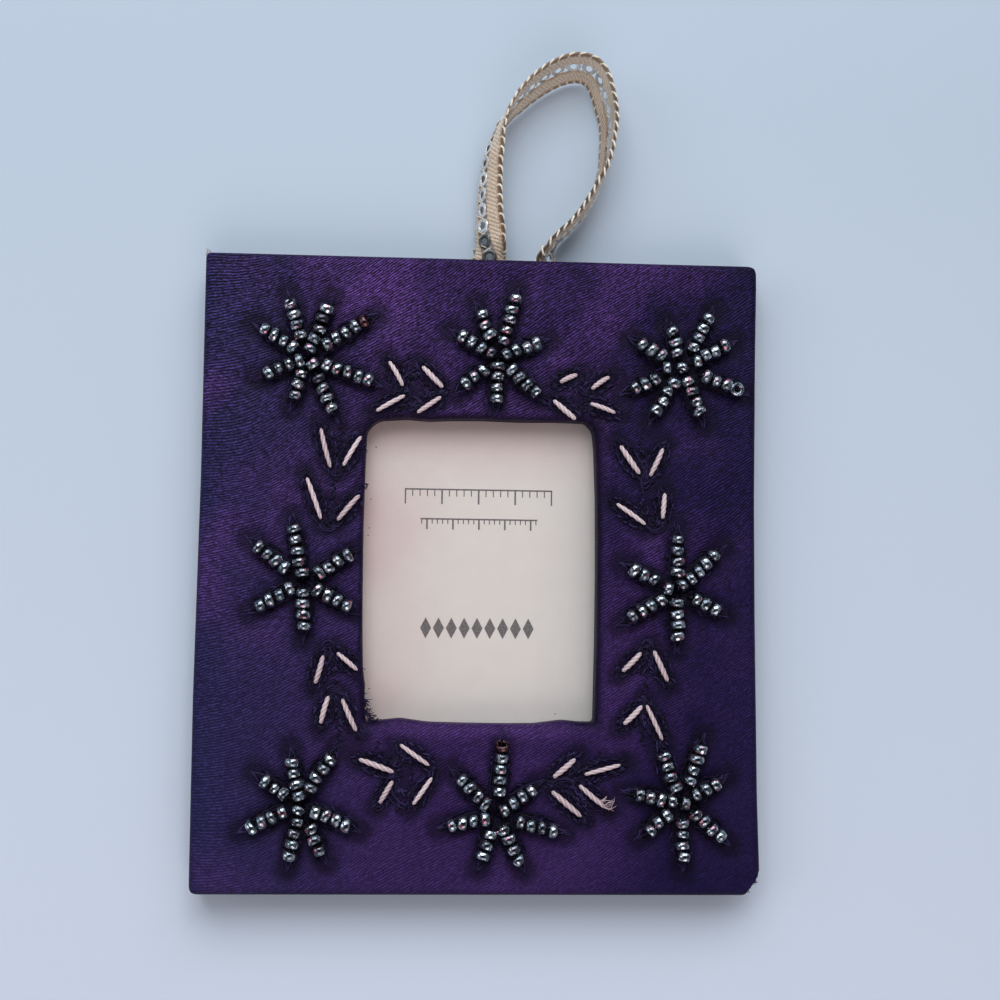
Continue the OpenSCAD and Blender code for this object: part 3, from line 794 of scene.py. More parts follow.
@dataclass(frozen=True)
class InsertCard:
    """The cream card behind the window, printed with two plain scales and a bold band.

    scales: for each scale its middle x and y, its width and its height in millimetres.
    band: the middle x and y, width and height of the bold row of lozenges.
    rule, tick, mark: widths of a scale's long line, and of its short and long ticks.
    """

    name: str = "insert_paper"
    scales: tuple[Four, ...] = ((-0.2, 12.3, 24.2, 2.4), (-0.1, 7.8, 19.2, 1.7))
    band: Four = (-0.2, -9.1, 18.8, 4.0)
    lozenges: int = 9
    rule: float = 0.26
    tick: float = 0.18
    mark: float = 0.28
    ink: Colour = linear(40, 32, 36)

    def inside(self, across: Value, up: Value, width: float, height: float) -> Value:
        """Returns 1 inside a rectangle round a middle, and 0 elsewhere."""
        return (abs(across) < width / 2) * (abs(up) < height / 2)

    def every(self, g: Graph, across: Value, pitch: float) -> Value:
        """Returns how far a place is from the nearest step of a pitch, in millimetres."""
        return g.math("PINGPONG", across + 50 * pitch, pitch / 2)

    def scale(self, g: Graph, x: Value, y: Value, box: Four) -> Value:
        """Returns 1 on a ruled scale: one long line with short and long ticks under it."""
        middle_x, middle_y, width, height = box
        across, up = x - middle_x, y - middle_y
        rule = self.inside(across, up - height / 2, width, self.rule)
        fine = self.every(g, across, height * 0.5) < self.tick / 2
        ticks = fine * self.inside(across, up - height * 0.28, width, height * 0.5)
        coarse = self.every(g, across, height * 2.5) < self.mark / 2
        marks = coarse * self.inside(across, up, width, height)
        return g.math("MAXIMUM", rule, g.math("MAXIMUM", ticks, marks))

    def bold_row(self, g: Graph, x: Value, y: Value) -> Value:
        """Returns 1 on the bold row of lozenges."""
        middle_x, middle_y, width, height = self.band
        across, up = x - middle_x, y - middle_y
        pitch = width / self.lozenges
        side = 1.0 - self.every(g, across + pitch / 2, pitch) * (2 / pitch)
        shape = side + abs(up) * (2 / height) < 0.86
        return shape * self.inside(across, up, width, height)

    def make(self) -> bpy.types.Material:
        """Builds the material."""
        g = Paint(self.name)
        place = g.place()
        x, y, _ = g.split(place)
        pulp = g.noise(place, 3, 4, 0.6)
        paper = g.mix(pulp, linear(212, 206, 200), linear(224, 217, 210))
        # Painted reflection and painted shadow: a cloudy pink painted reflection towards the left,
        # and a pink painted shadow under the window's top edge.
        cloud = g.range(g.noise(place, 13, 1), 0.3, 0.7)
        left = g.range(x, -19, -3, 1, 0) * (cloud + 0.3)
        top = g.range(y, 13, 25) * 0.9
        painted_pink_light = g.math("MINIMUM", g.math("MAXIMUM", left, top), 1.0)
        paper = g.mix(painted_pink_light * 0.75, paper, linear(204, 172, 170))
        # Painted shade: the card is painted greyer towards the right.
        paper = g.mix(g.range(x, 8, 19) * 0.5, paper, linear(182, 182, 180))
        ink = self.bold_row(g, x, y)
        for box in self.scales:
            ink = g.math("MAXIMUM", ink, self.scale(g, x, y, box))
        printed = ink * g.range(g.noise(place, 0.25, 2), 0.2, 0.6, 0.75, 0.97)
        colour = g.mix(printed, paper, self.ink)
        return g.finish(Base_Color=colour, Roughness=0.75, Normal=g.bump(pulp, 0.02, 0.4))


@dataclass(frozen=True)
class ClearSheet:
    """The thin clear plastic over the card."""

    name: str = "clear_plastic"

    def make(self) -> bpy.types.Material:
        """Builds the material."""
        g = Paint(self.name)
        place = g.place()
        ripple = g.noise(place, 14, 2)
        # Painted reflection: faint pink and pale patches in the sheet's colour stand in for its
        # reflections.
        painted_reflection = g.mix(ripple, linear(236, 214, 210), linear(232, 236, 238))
        material = g.finish(
            Base_Color=painted_reflection, Roughness=0.08, Alpha=0.05, IOR=1.45,
            Normal=g.bump(ripple, 0.3, 0.5))
        material.surface_render_method = "BLENDED"
        return material


# ---------------------------------------------------------------- the studio


@dataclass(frozen=True)
class Opening:
    """A part of the room with its own light.

    towards: the way to its middle.
    inner, outer: the angles round its middle, in degrees, where it starts and ends to fade.
    light: its red, green and blue.
    """

    towards: Place
    inner: float
    outer: float
    light: Place


@dataclass
class Studio:
    """Camera, pale floor and plain soft light, as the photograph was taken."""

    camera_place: Place = (-0.01145, -0.00908, 0.2477)
    camera_turn: Place = (0.0851, -0.0607, 0.0144)
    sensor: float = 36
    focal_pixels: float = 1500
    picture_pixels: float = 1000
    floor_size: float = 3.0
    floor_drop: float = 0.00002
    lamp_place: Place = (-0.09, 0.41, 0.53)
    lamp_size: float = 0.5
    lamp_power: float = 3.0
    room: float = 0.23
    openings: tuple[Opening, ...] = (
        Opening((0, 0, 1), 22, 32, (0.03, 0.03, 0.035)),
        Opening((0.35, 0.70, 0.62), 15, 21, (1.95, 2.0, 2.1)),
        Opening((-0.80, 0.10, 0.59), 13, 20, (1.5, 1.6, 1.7)),
        Opening((0.12, -0.74, 0.66), 19, 27, (1.9, 1.7, 1.72)))

    def build(self) -> None:
        """Makes the camera, the floor, the lamp and the world."""
        bpy.context.scene.view_settings.view_transform = "Standard"
        self.camera()
        self.floor()
        self.lamp()
        self.world()

    def camera(self) -> None:
        """Makes the camera at the photograph's place."""
        data = bpy.data.cameras.new("camera")
        data.sensor_width = self.sensor
        data.lens = self.sensor * self.focal_pixels / self.picture_pixels
        data.clip_start, data.clip_end = 0.01, 10
        camera = bpy.data.objects.new("camera", data)
        bpy.context.scene.collection.objects.link(camera)
        turn = Vector(self.camera_turn)
        camera.rotation_mode = "QUATERNION"
        camera.rotation_quaternion = Quaternion(turn.normalized(), turn.length)
        camera.location = self.camera_place
        bpy.context.scene.camera = camera

    def floor(self) -> None:
        """Makes the pale blue-grey table under the frame."""
        clear_selection()
        bpy.ops.mesh.primitive_plane_add(
            size=self.floor_size, location=(0, 0, -self.floor_drop))
        floor = bpy.context.object
        floor.name = "table"
        bpy.ops.object.transform_apply(location=True, rotation=True, scale=True)
        g = Paint("table_paper")
        place = g.place()
        # Painted light: the table is painted lighter towards -y, the bottom of the picture, in
        # broad patches.
        near = g.range(g.split(place)[1] + g.noise(place, 90, 2) * 20, 90, -80)
        colour = g.mix(near, linear(186, 201, 216), linear(212, 222, 237))
        floor.data.materials.append(
            g.finish(Base_Color=colour, Roughness=0.9, Specular_IOR_Level=0.1))

    def lamp(self) -> None:
        """Makes the square lamp that stands in for the window, and points it at the frame."""
        data = bpy.data.lights.new("window_light", "AREA")
        data.size, data.energy = self.lamp_size, self.lamp_power
        data.color = linear(250, 252, 255)[:3]
        lamp = bpy.data.objects.new("window_light", data)
        lamp.location = self.lamp_place
        lamp.rotation_euler = (-Vector(self.lamp_place)).to_track_quat("-Z", "Y").to_euler()
        bpy.context.scene.collection.objects.link(lamp)

    def world(self) -> None:
        """Makes the room: a dim one, dark overhead, with bright windows and a pink wall."""
        world = bpy.data.worlds.new("room")
        bpy.context.scene.world = world
        world.use_nodes = True
        g = Graph(world.node_tree)
        way = g.out("Generated", "TexCoord", {})
        colour = (*(c * self.room for c in linear(246, 250, 255)[:3]), 1)
        for opening in self.openings:
            share = g.range(g.dot(way, Vector(opening.towards).normalized()),
                            math.cos(math.radians(opening.outer)),
                            math.cos(math.radians(opening.inner)), ease="SMOOTHSTEP")
            colour = g.mix(share, colour, (*opening.light, 1))
        g.feed(world.node_tree.nodes["Background"].inputs, {0: colour, 1: 1})


# ---------------------------------------------------------------- the ribbon


@dataclass
class RibbonLoop:
    """The hanging loop: two ribbed bands with picot edges and ring sequins between them.

    Sizes are in millimetres. route: x, y, z and the tilt of the width in degrees.
    roll: distance along the ribbon, and the angle by which it is rolled there.
    tones: distance along the ribbon, and how light it is painted there, as painted light that is
    strongest over the loop's top.
    dull: the sequins that don't catch the light, painted dark as painted shade.
    probe: how far to each side of a place its direction is taken from.
    roll_share: the share of half the width that turns by the whole of the roll.
    """

    width: float = 8.2
    thickness: float = 0.42
    tuck: float = 1.3
    far_tuck: float = 2.2
    loose: float = 7.0
    edge_y: float = FRAME_SIZE[1] / 2
    channel: float = 1.05
    rib_pitch: float = 0.7
    rib_height: float = 0.09
    rib_slant: float = 0.55
    picot_pitch: float = 1.62
    picot_width: float = 1.0
    picot_room: float = 0.3
    picot_loop: float = 0.56
    picot_cord: float = 0.17
    picot_lift: float = 0.05
    picot_tilt: float = 20
    sequin_pitch: float = 2.6
    sequin_radius: float = 1.2
    sequin_rim: float = 0.1
    sequin_foil: float = 0.06
    sequin_lift: float = 0.12
    sewing_radius: float = 0.09
    probe: float = 0.3
    roll_share: float = 0.62
    shaded_sequins: tuple[int, int] = (2, 3)
    route: tuple[Four, ...] = (
        (1.4, 43, 3.05, 0), (1.3, 47, 3.05, 0), (1.2, 50, 3.05, 0), (1.1, 51.8, 3.05, 0),
        (0.7, 55.5, 3.2, 42), (0.4, 60, 3.6, 57), (0.5, 65, 3.9, 63), (1.1, 69.4, 4.3, 72),
        (2.3, 73.8, 4.4, 82), (4.1, 76.8, 4.45, 93), (6.1, 79.3, 4.4, 101), (8.5, 81.6, 4.3, 105),
        (11.2, 83.5, 4.3, 107), (14, 84.7, 4.3, 108), (16.5, 84.8, 4.3, 108),
        (18.3, 83.8, 4.3, 109), (19.4, 81.8, 4.3, 110), (20.2, 79, 4.3, 109),
        (20.8, 75.8, 4.35, 106), (20.6, 71.8, 4.4, 102), (20, 67.6, 4.45, 97),
        (18.6, 63.7, 4.45, 89), (16.8, 60.4, 4.45, 88), (14.5, 57.6, 4.4, 88),
        (12.3, 55.6, 4.3, 86), (11.1, 53.7, 4.0, 78), (10.7, 51.6, 3.6, 45),
        (10.8, 49.5, 3.05, 0), (10.7, 46.5, 3.05, 0), (10.7, 43, 3.05, 0))
    roll: Line = (
        (6.5, 0), (9, 52), (13, 46), (18, 36), (27, 34), (34, 5), (66, 4), (76, 16), (84, 0))
    tones: Line = ((25, 0.5), (36, 0.82), (52, 0.78), (60, 0.42))
    line: np.ndarray = field(default_factory=lambda: np.zeros((0, 4)))
    run: np.ndarray = field(default_factory=lambda: np.zeros(0))

    def trace(self, steps: int = 16) -> None:
        """Works out the middle line and how far along it each of its points is."""
        points = np.array(self.route)
        rows = []
        for i in range(len(points) - 1):
            a, b, c, d = (points[min(max(i + k, 0), len(points) - 1)] for k in (-1, 0, 1, 2))
            for t in np.arange(steps) / steps:
                flat = 0.5 * (2 * b + (c - a) * t + (2 * a - 5 * b + 4 * c - d) * t ** 2
                              + (3 * b - a - 3 * c + d) * t ** 3)
                eased = b + (c - b) * t * t * (3 - 2 * t)
                rows.append([flat[0], flat[1], eased[2], eased[3]])
        rows.append(points[-1])
        self.line = np.array(rows)
        gaps = np.linalg.norm(np.diff(self.line[:, :3], axis=0), axis=1)
        self.run = np.concatenate([[0], np.cumsum(gaps)])

    def frame_at(self, along: np.ndarray) -> tuple[np.ndarray, np.ndarray, np.ndarray, np.ndarray]:
        """Returns places on the middle line, with the ways along, across and out of the face.

        Args:
            along: distances from the start of the ribbon.
        """
        def find(s: np.ndarray) -> np.ndarray:
            """Returns the middle line's rows at some distances."""
            return np.stack([np.interp(s, self.run, self.line[:, c]) for c in range(4)], -1)

        here = find(along)
        step = find(along + self.probe) - find(along - self.probe)
        way = step[:, :3] / np.linalg.norm(step[:, :3], axis=1, keepdims=True)
        turn, tilt = np.arctan2(way[:, 1], way[:, 0]), np.radians(here[:, 3])
        lean, rise = np.cos(tilt), np.sin(tilt)
        across = np.stack([lean * np.sin(turn), -lean * np.cos(turn), rise], -1)
        out = np.stack([-rise * np.sin(turn), rise * np.cos(turn), lean], -1)
        return here[:, :3], way, across, out

    def half(self, along: np.ndarray) -> np.ndarray:
        """Returns half the ribbon's width, less where it is gathered near the frame."""
        y = np.interp(along, self.run, self.line[:, 1])
        t = np.clip((y - self.edge_y) / self.loose, 0, 1)
        tuck = np.where(along > self.run[-1] / 2, self.far_tuck, self.tuck)
        return self.width / 2 - tuck / 2 * (1 - t * t * (3 - 2 * t))

    def surface(self, along: np.ndarray, share: np.ndarray, height: np.ndarray
                ) -> tuple[np.ndarray, np.ndarray, np.ndarray, np.ndarray]:
        """Returns places on the rolled ribbon, with the ways along, across and out there.

        Args:
            along: distances from the start of the ribbon.
            share: places across it, from -1 to 1.
            height: heights over its middle layer.
        """
        place, way, across, out = self.frame_at(along)
        half = self.half(along)
        bend = np.radians(follow(along, self.roll)) / (self.roll_share * self.width / 2) + 1e-4
        angle = bend * share * half
        side = np.sin(angle) / bend
        fall = (1 - np.cos(angle)) / bend - bend * half ** 2 / 6
        cos, sin = np.cos(angle)[:, None], np.sin(angle)[:, None]
        here_across, here_out = across * cos - out * sin, across * sin + out * cos
        points = place + across * side[:, None] - out * fall[:, None] + here_out * height[:, None]
        return points, way, here_across, here_out

    def braid(self) -> bpy.types.Object:
        """Models the two ribbed bands, side by side, each from one grid."""
        bands = []
        for side in (-1, 1):
            clear_selection()
            bpy.ops.mesh.primitive_grid_add(x_subdivisions=900, y_subdivisions=9, size=1)
            piece = bpy.context.object
            flat = coordinates(piece)
            along = (flat[:, 0] + 0.5) * self.run[-1]
            share = flat[:, 1] + 0.5
            half = self.half(along)
            across = self.channel + share * (half - self.channel - self.picot_room)
            selvedge = np.clip((share - 0.72) * 12, 0, 1)
            phase = (along + self.rib_slant * across * side) * 2 * math.pi / self.rib_pitch
            rib = np.sin(phase) * (1 - selvedge)
            crown = np.sin(np.clip(share / 0.75, 0, 1) * math.pi) ** 0.6
            height = self.rib_height * rib * crown
            points = self.surface(along, side * across / half, height)[0]
            move_vertices(piece, points * MM)
            # Painted light over the loop's top from tones; painted shade in the rib hollows, a
            # painted shadow along the selvedge under the picots, and a darker edge by the channel.
            tone = follow(along, self.tones)
            tone += 0.28 * rib * crown - 0.8 * selvedge - 0.3 * (share < 0.06)
            set_attribute(piece, "tone", tone)
            bands.append(piece)
        clear_selection()
        for band in bands:
            band.select_set(True)
        bpy.context.view_layer.objects.active = bands[0]
        bpy.ops.object.join()
        bands[0].name = "ribbon_braid"
        add_modifier(bands[0], "SOLIDIFY", thickness=self.thickness * MM, offset=0)
        smooth(bands[0])
        return bands[0]

    def picots(self) -> bpy.types.Object:
        """Models one small loop of cord and copies it along both edges."""
        clear_selection()
        bpy.ops.mesh.primitive_torus_add(
            major_segments=12, minor_segments=6, major_radius=self.picot_loop,
            minor_radius=self.picot_cord)
        loop = bpy.context.object
        with editing():
            bpy.ops.transform.resize(value=(1.25, 0.9, 1.0))
        template = Template.take(loop)
        # Painted light and shade: each loop is painted lighter on its outer arc and darker at its
        # roots.
        template.tones = np.clip(template.points[:, 1] * 0.9, -0.5, 0.3)
        count = int(self.run[-1] / self.picot_pitch)
        along = (np.arange(count) + 0.5) * self.picot_pitch
        matrices = []
        for side in (-1, 1):
            reach = 1 - 0.78 * self.picot_width / self.half(along)
            lift = np.full(count, self.picot_lift)
            place, way, across, out = self.surface(along, side * reach, lift)
            for p, a, w, f in zip(place, way, across, out):
                upright = Matrix((side * a, side * w, f)).transposed().to_4x4()
                matrices.append(stand(p, turned(self.picot_tilt, Vector(w)) @ upright))
        tones = np.array([0.85 + DRAW.uniform(-0.12, 0.12) for _ in matrices])
        return template.placed("ribbon_picots", matrices, tones)

    def sequins(self) -> tuple[bpy.types.Object, bpy.types.Object]:
        """Models one cupped ring, copies it down the channel and sews it in with threads."""
        clear_selection()
        bpy.ops.mesh.primitive_cylinder_add(
            vertices=24, radius=self.sequin_radius, depth=self.sequin_rim,
            end_fill_type="NOTHING")
        ring = bpy.context.object
        start_picking("EDGE")
        for edge in ring.data.edges:
            edge.select = all(ring.data.vertices[v].co.z > 0 for v in edge.vertices)
        with editing(picked=True):
            for scale, lift in ((0.82, 0.07), (0.8, -0.03), (0.72, -0.06)):
                bpy.ops.mesh.extrude_edges_move(TRANSFORM_OT_translate={"value": (0, 0, lift)})
                bpy.ops.transform.resize(value=(scale, scale, 1))
        add_modifier(ring, "SOLIDIFY", thickness=self.sequin_foil, offset=0)
        template = Template.take(ring)
        count = int((self.run[-1] - 4 * self.sequin_radius) / self.sequin_pitch)
        start = (self.run[-1] - (count - 1) * self.sequin_pitch) / 2
        along = start + np.arange(count) * self.sequin_pitch
        lift = np.full(count, self.sequin_lift)
        place, way, across, out = self.surface(along, np.zeros(count), lift)
        matrices, threads = [], []
        for p, a, w, f in zip(place, way, across, out):
            lean = turned(DRAW.uniform(-9, 9), Vector(a))
            lean = turned(DRAW.uniform(-7, 7), Vector(w)) @ lean
            matrices.append(stand(p, lean @ Matrix((a, w, f)).transposed().to_4x4()))
            for slant in (-1, 1):
                joint = p + a * (self.sequin_pitch / 2)
                reach = w * (self.channel + 0.2) + a * slant * 0.7
                threads.append(Thread(tuple(joint - reach), tuple(joint + f * 0.1),
                                      tuple(joint + reach), self.sewing_radius, 0.9))
        # Painted shade: the sequins that don't catch the light get a dark tone.
        tones = np.array([0.1 if i in self.shaded_sequins else 0.9 + DRAW.uniform(-0.2, 0.1)
                          for i in range(count)])
        rings = template.placed("ribbon_rings", matrices, tones)
        return rings, Strand(5, (0.2, 0.5, 0.8), 0.7).lay("ribbon_threads", threads)

    def build(self) -> None:
        self.trace()
        braid, picots = self.braid(), self.picots()
        rings, threads = self.sequins()
        finish = Braid().make()
        dress(braid, finish, "hanging_ribbon")
        dress(picots, finish)
        dress(threads, finish)
        dress(rings, Foil().make(), "ribbon_sequins")
        LOG.info("ribbon: %.1f mm long", self.run[-1])


# ---------------------------------------------------------------- the satin covers


@dataclass
class SatinPanel:
    """A board's satin cover: a rounded face, walls, and a strip turned in behind.

    Sizes are in millimetres. face: the face's height; foot: the height where the
    satin turns in; up: 1 where the face looks up and -1 where it looks down.
    fold: how the satin rounds the foot: how far in, and how far over the foot.
    hollow_right, hollow_left: y, and how far the side stands out there.
    """

    width: float = FRAME_SIZE[0]
    height: float = FRAME_SIZE[1]
    edge: float = 1.1
    turn_in: float = 10.0
    face: float = FACE
    foot: float = 3.62
    up: int = 1
    cloth: float = 0.3
    fold: Line = ((0.0, 0.3), (0.12, 0.08), (0.4, 0.0))
    hollow_right: Line = (
        (-51, 0.35), (-46, 0.25), (-36, -0.05), (-7, -0.35), (12, -0.4), (37, -0.15), (47, 0.05),
        (51, 0.05))
    hollow_left: Line = ((-51, 0.1), (-20, -0.1), (15, 0.15), (51, 0.0))
    worn_width: float = 2.6
    worn_height: float = 3.8
    corners: Corners = (
        (-1, 1, 0.9), (1, 1, 1.5), (-1, -1, 1.3), (1, -1, 1.2))

    def knots(self) -> tuple[list[float], list[float], list[int], list[int]]:
        """Returns where the grid's lines go: x and y knots, and the cells between them."""
        half_x, half_y = self.width / 2 - self.edge, self.height / 2 - self.edge
        return [-half_x, half_x], [-half_y, half_y], [60], [68]

    def grid(self, name: str) -> bpy.types.Object:
        """Adds the face as a grid whose lines follow the knots."""
        xs, ys, across, up = self.knots()
        clear_selection()
        bpy.ops.mesh.primitive_grid_add(x_subdivisions=sum(across), y_subdivisions=sum(up), size=1)
        piece = bpy.context.object
        piece.name = name
        points = coordinates(piece)
        for axis, knots, cells in ((0, xs, across), (1, ys, up)):
            steps = np.concatenate([[0], np.cumsum(cells)]) / sum(cells) - 0.5
            points[:, axis] = np.interp(points[:, axis], steps, knots)
        points[:, 2] = self.face
        move_vertices(piece, points)
        return piece

    def fall(self, piece: bpy.types.Object, half: Span, centre: Span, radius: float,
             turn_in: float, grow: int) -> None:
        """Extrudes a border of the face over a rounded edge, down a wall and inwards.

        Args:
            piece: the cover, whose border edges lie at the given half sizes.
            half: half the border's width and height.
            centre: the border's centre.
            radius: the rounding of the edge.
            turn_in: how far the satin is turned in behind the board.
            grow: 1 for the outer border, and -1 for the window's.
        """
        points = coordinates(piece)
        low, high = np.array(centre) - half, np.array(centre) + half
        flat = points[:, :2]
        on_line = (np.abs(flat - low) < 0.01) | (np.abs(flat - high) < 0.01)
        inside = ((flat > low - 0.01) & (flat < high + 0.01)).all(1)
        on_border = on_line.any(1) & inside
        activate(piece)
        start_picking("EDGE")
        ends = np.empty(len(piece.data.edges) * 2, int)
        piece.data.edges.foreach_get("vertices", ends)
        ends = ends.reshape(-1, 2)
        chosen = on_border[ends].all(1)
        uses = np.zeros(len(ends), int)
        loops = np.empty(len(piece.data.loops), int)
        piece.data.loops.foreach_get("edge_index", loops)
        np.add.at(uses, loops, 1)
        chosen &= uses == 1
        picked = np.zeros(len(points), bool)
        picked[ends[chosen].ravel()] = True
        piece.data.vertices.foreach_set("select", picked)
        piece.data.edges.foreach_set("select", chosen)
        steps = []
        for angle in (22.5, 45, 67.5, 90):
            a = math.radians(angle)
            steps.append((grow * radius * math.sin(a), self.face - radius * (1 - math.cos(a))))
        wall = self.face - radius - self.foot - self.fold[0][1]
        steps += [(grow * radius, self.face - radius - wall * k / 4) for k in (1, 2, 3, 4)]
        steps += [(grow * (radius - inward), self.foot + over) for inward, over in self.fold[1:]]
        steps += [(grow * (radius - turn_in * k / 3), self.foot) for k in (1, 2, 3)]
        offset, height = 0.0, self.face
        middle = (*centre, 0)
        with editing(picked=True):
            for new_offset, new_height in steps:
                bpy.ops.mesh.extrude_edges_move(
                    TRANSFORM_OT_translate={"value": (0, 0, new_height - height)})
                scale = [(h + new_offset) / (h + offset) for h in half]
                bpy.ops.transform.resize(value=(*scale, 1), center_override=middle)
                offset, height = new_offset, new_height

    def round_corners(self, points: np.ndarray) -> None:
        """Rounds the panel's corners and cuts off the worn one, in place."""
        for side, end, radius in self.corners:
            a = (side * points[:, 0] - (self.width / 2 - radius)) / radius
            b = (end * points[:, 1] - (self.height / 2 - radius)) / radius
            near = (a > 0) & (b > 0)
            u, v = a[near], b[near]
            points[near, 0] = side * (self.width / 2 - radius + radius * u * np.sqrt(1 - v * v / 2))
            points[near, 1] = end * (self.height / 2 - radius + radius * v * np.sqrt(1 - u * u / 2))
        away = np.array([self.worn_height, -self.worn_width])
        away /= np.linalg.norm(away)
        start = np.array([self.width / 2 - self.worn_width, -self.height / 2])
        past = (points[:, :2] - start) @ away
        ragged = np.array([0.14 * rough(x, y, 0.8, 4.0 + z) for x, y, z in points])
        points[:, :2] -= np.clip(past - ragged, 0, None)[:, None] * away

    def bow(self, points: np.ndarray) -> None:
        """Gives the long sides their slight hollows, in place."""
        outward = np.clip((np.abs(points[:, 0]) - 30) / 15, 0, 1)
        right = follow(points[:, 1], self.hollow_right)
        left = follow(points[:, 1], self.hollow_left)
        points[:, 0] += outward * np.where(points[:, 0] > 0, right, left)

    def on_face(self, points: np.ndarray, depth: float) -> np.ndarray:
        """Returns 1 on the face, and less below it, down to nothing at a depth."""
        return np.clip((points[:, 2] - self.face + depth) / depth, 0, 1)

    def lay(self, points: np.ndarray) -> tuple[np.ndarray, np.ndarray]:
        """Shapes the cloth's vertices in place, and returns their painted shade and painted
        highlight.
        """
        self.round_corners(points)
        self.bow(points)
        swell = hills(points, 7, 2.0) + 0.5 * hills(points, 3, 5.0)
        on_face = self.on_face(points, 0.6)
        points[:, 2] += 0.05 * swell * on_face
        # Painted shade down the walls, and no painted highlight.
        return 0.5 * (1 - on_face), np.zeros(len(points))

    def build(self, name: str, finish: bpy.types.Material, node: str, rests_on: list[str]) -> None:
        """Args:
            name: the piece's name.
            finish: its material.
            node: the CAD node that it stands for.
            rests_on: the nodes that the satin lies on; not used.
        """
        piece = self.grid(name)
        self.open_face(piece)
        half = (self.width / 2 - self.edge, self.height / 2 - self.edge)
        self.fall(piece, half, (0, 0), self.edge, self.turn_in, 1)
        points = coordinates(piece)
        shade, painted_highlight = self.lay(points)
        if self.up < 0:
            points[:, 2] = self.face - points[:, 2]
        move_vertices(piece, points * MM)
        activate(piece)
        with editing():
            bpy.ops.mesh.normals_make_consistent(inside=False)
        set_attribute(piece, "shade", shade)
        set_attribute(piece, "painted_highlight", painted_highlight)
        add_modifier(piece, "SOLIDIFY", thickness=self.cloth * MM, offset=-1)
        smooth(piece)
        dress(piece, finish, node)
        wall = 2 * (self.face - self.foot + self.turn_in)
        flat = ((self.width + wall) * MM, (self.height + wall) * MM)
        self.flat_area(flat)

    def open_face(self, piece: bpy.types.Object) -> None:
        """Leaves the face whole."""

    def flat_area(self, flat: Span) -> float:
        """Returns the area of the cut cloth, in square metres."""
        return flat[0] * flat[1]


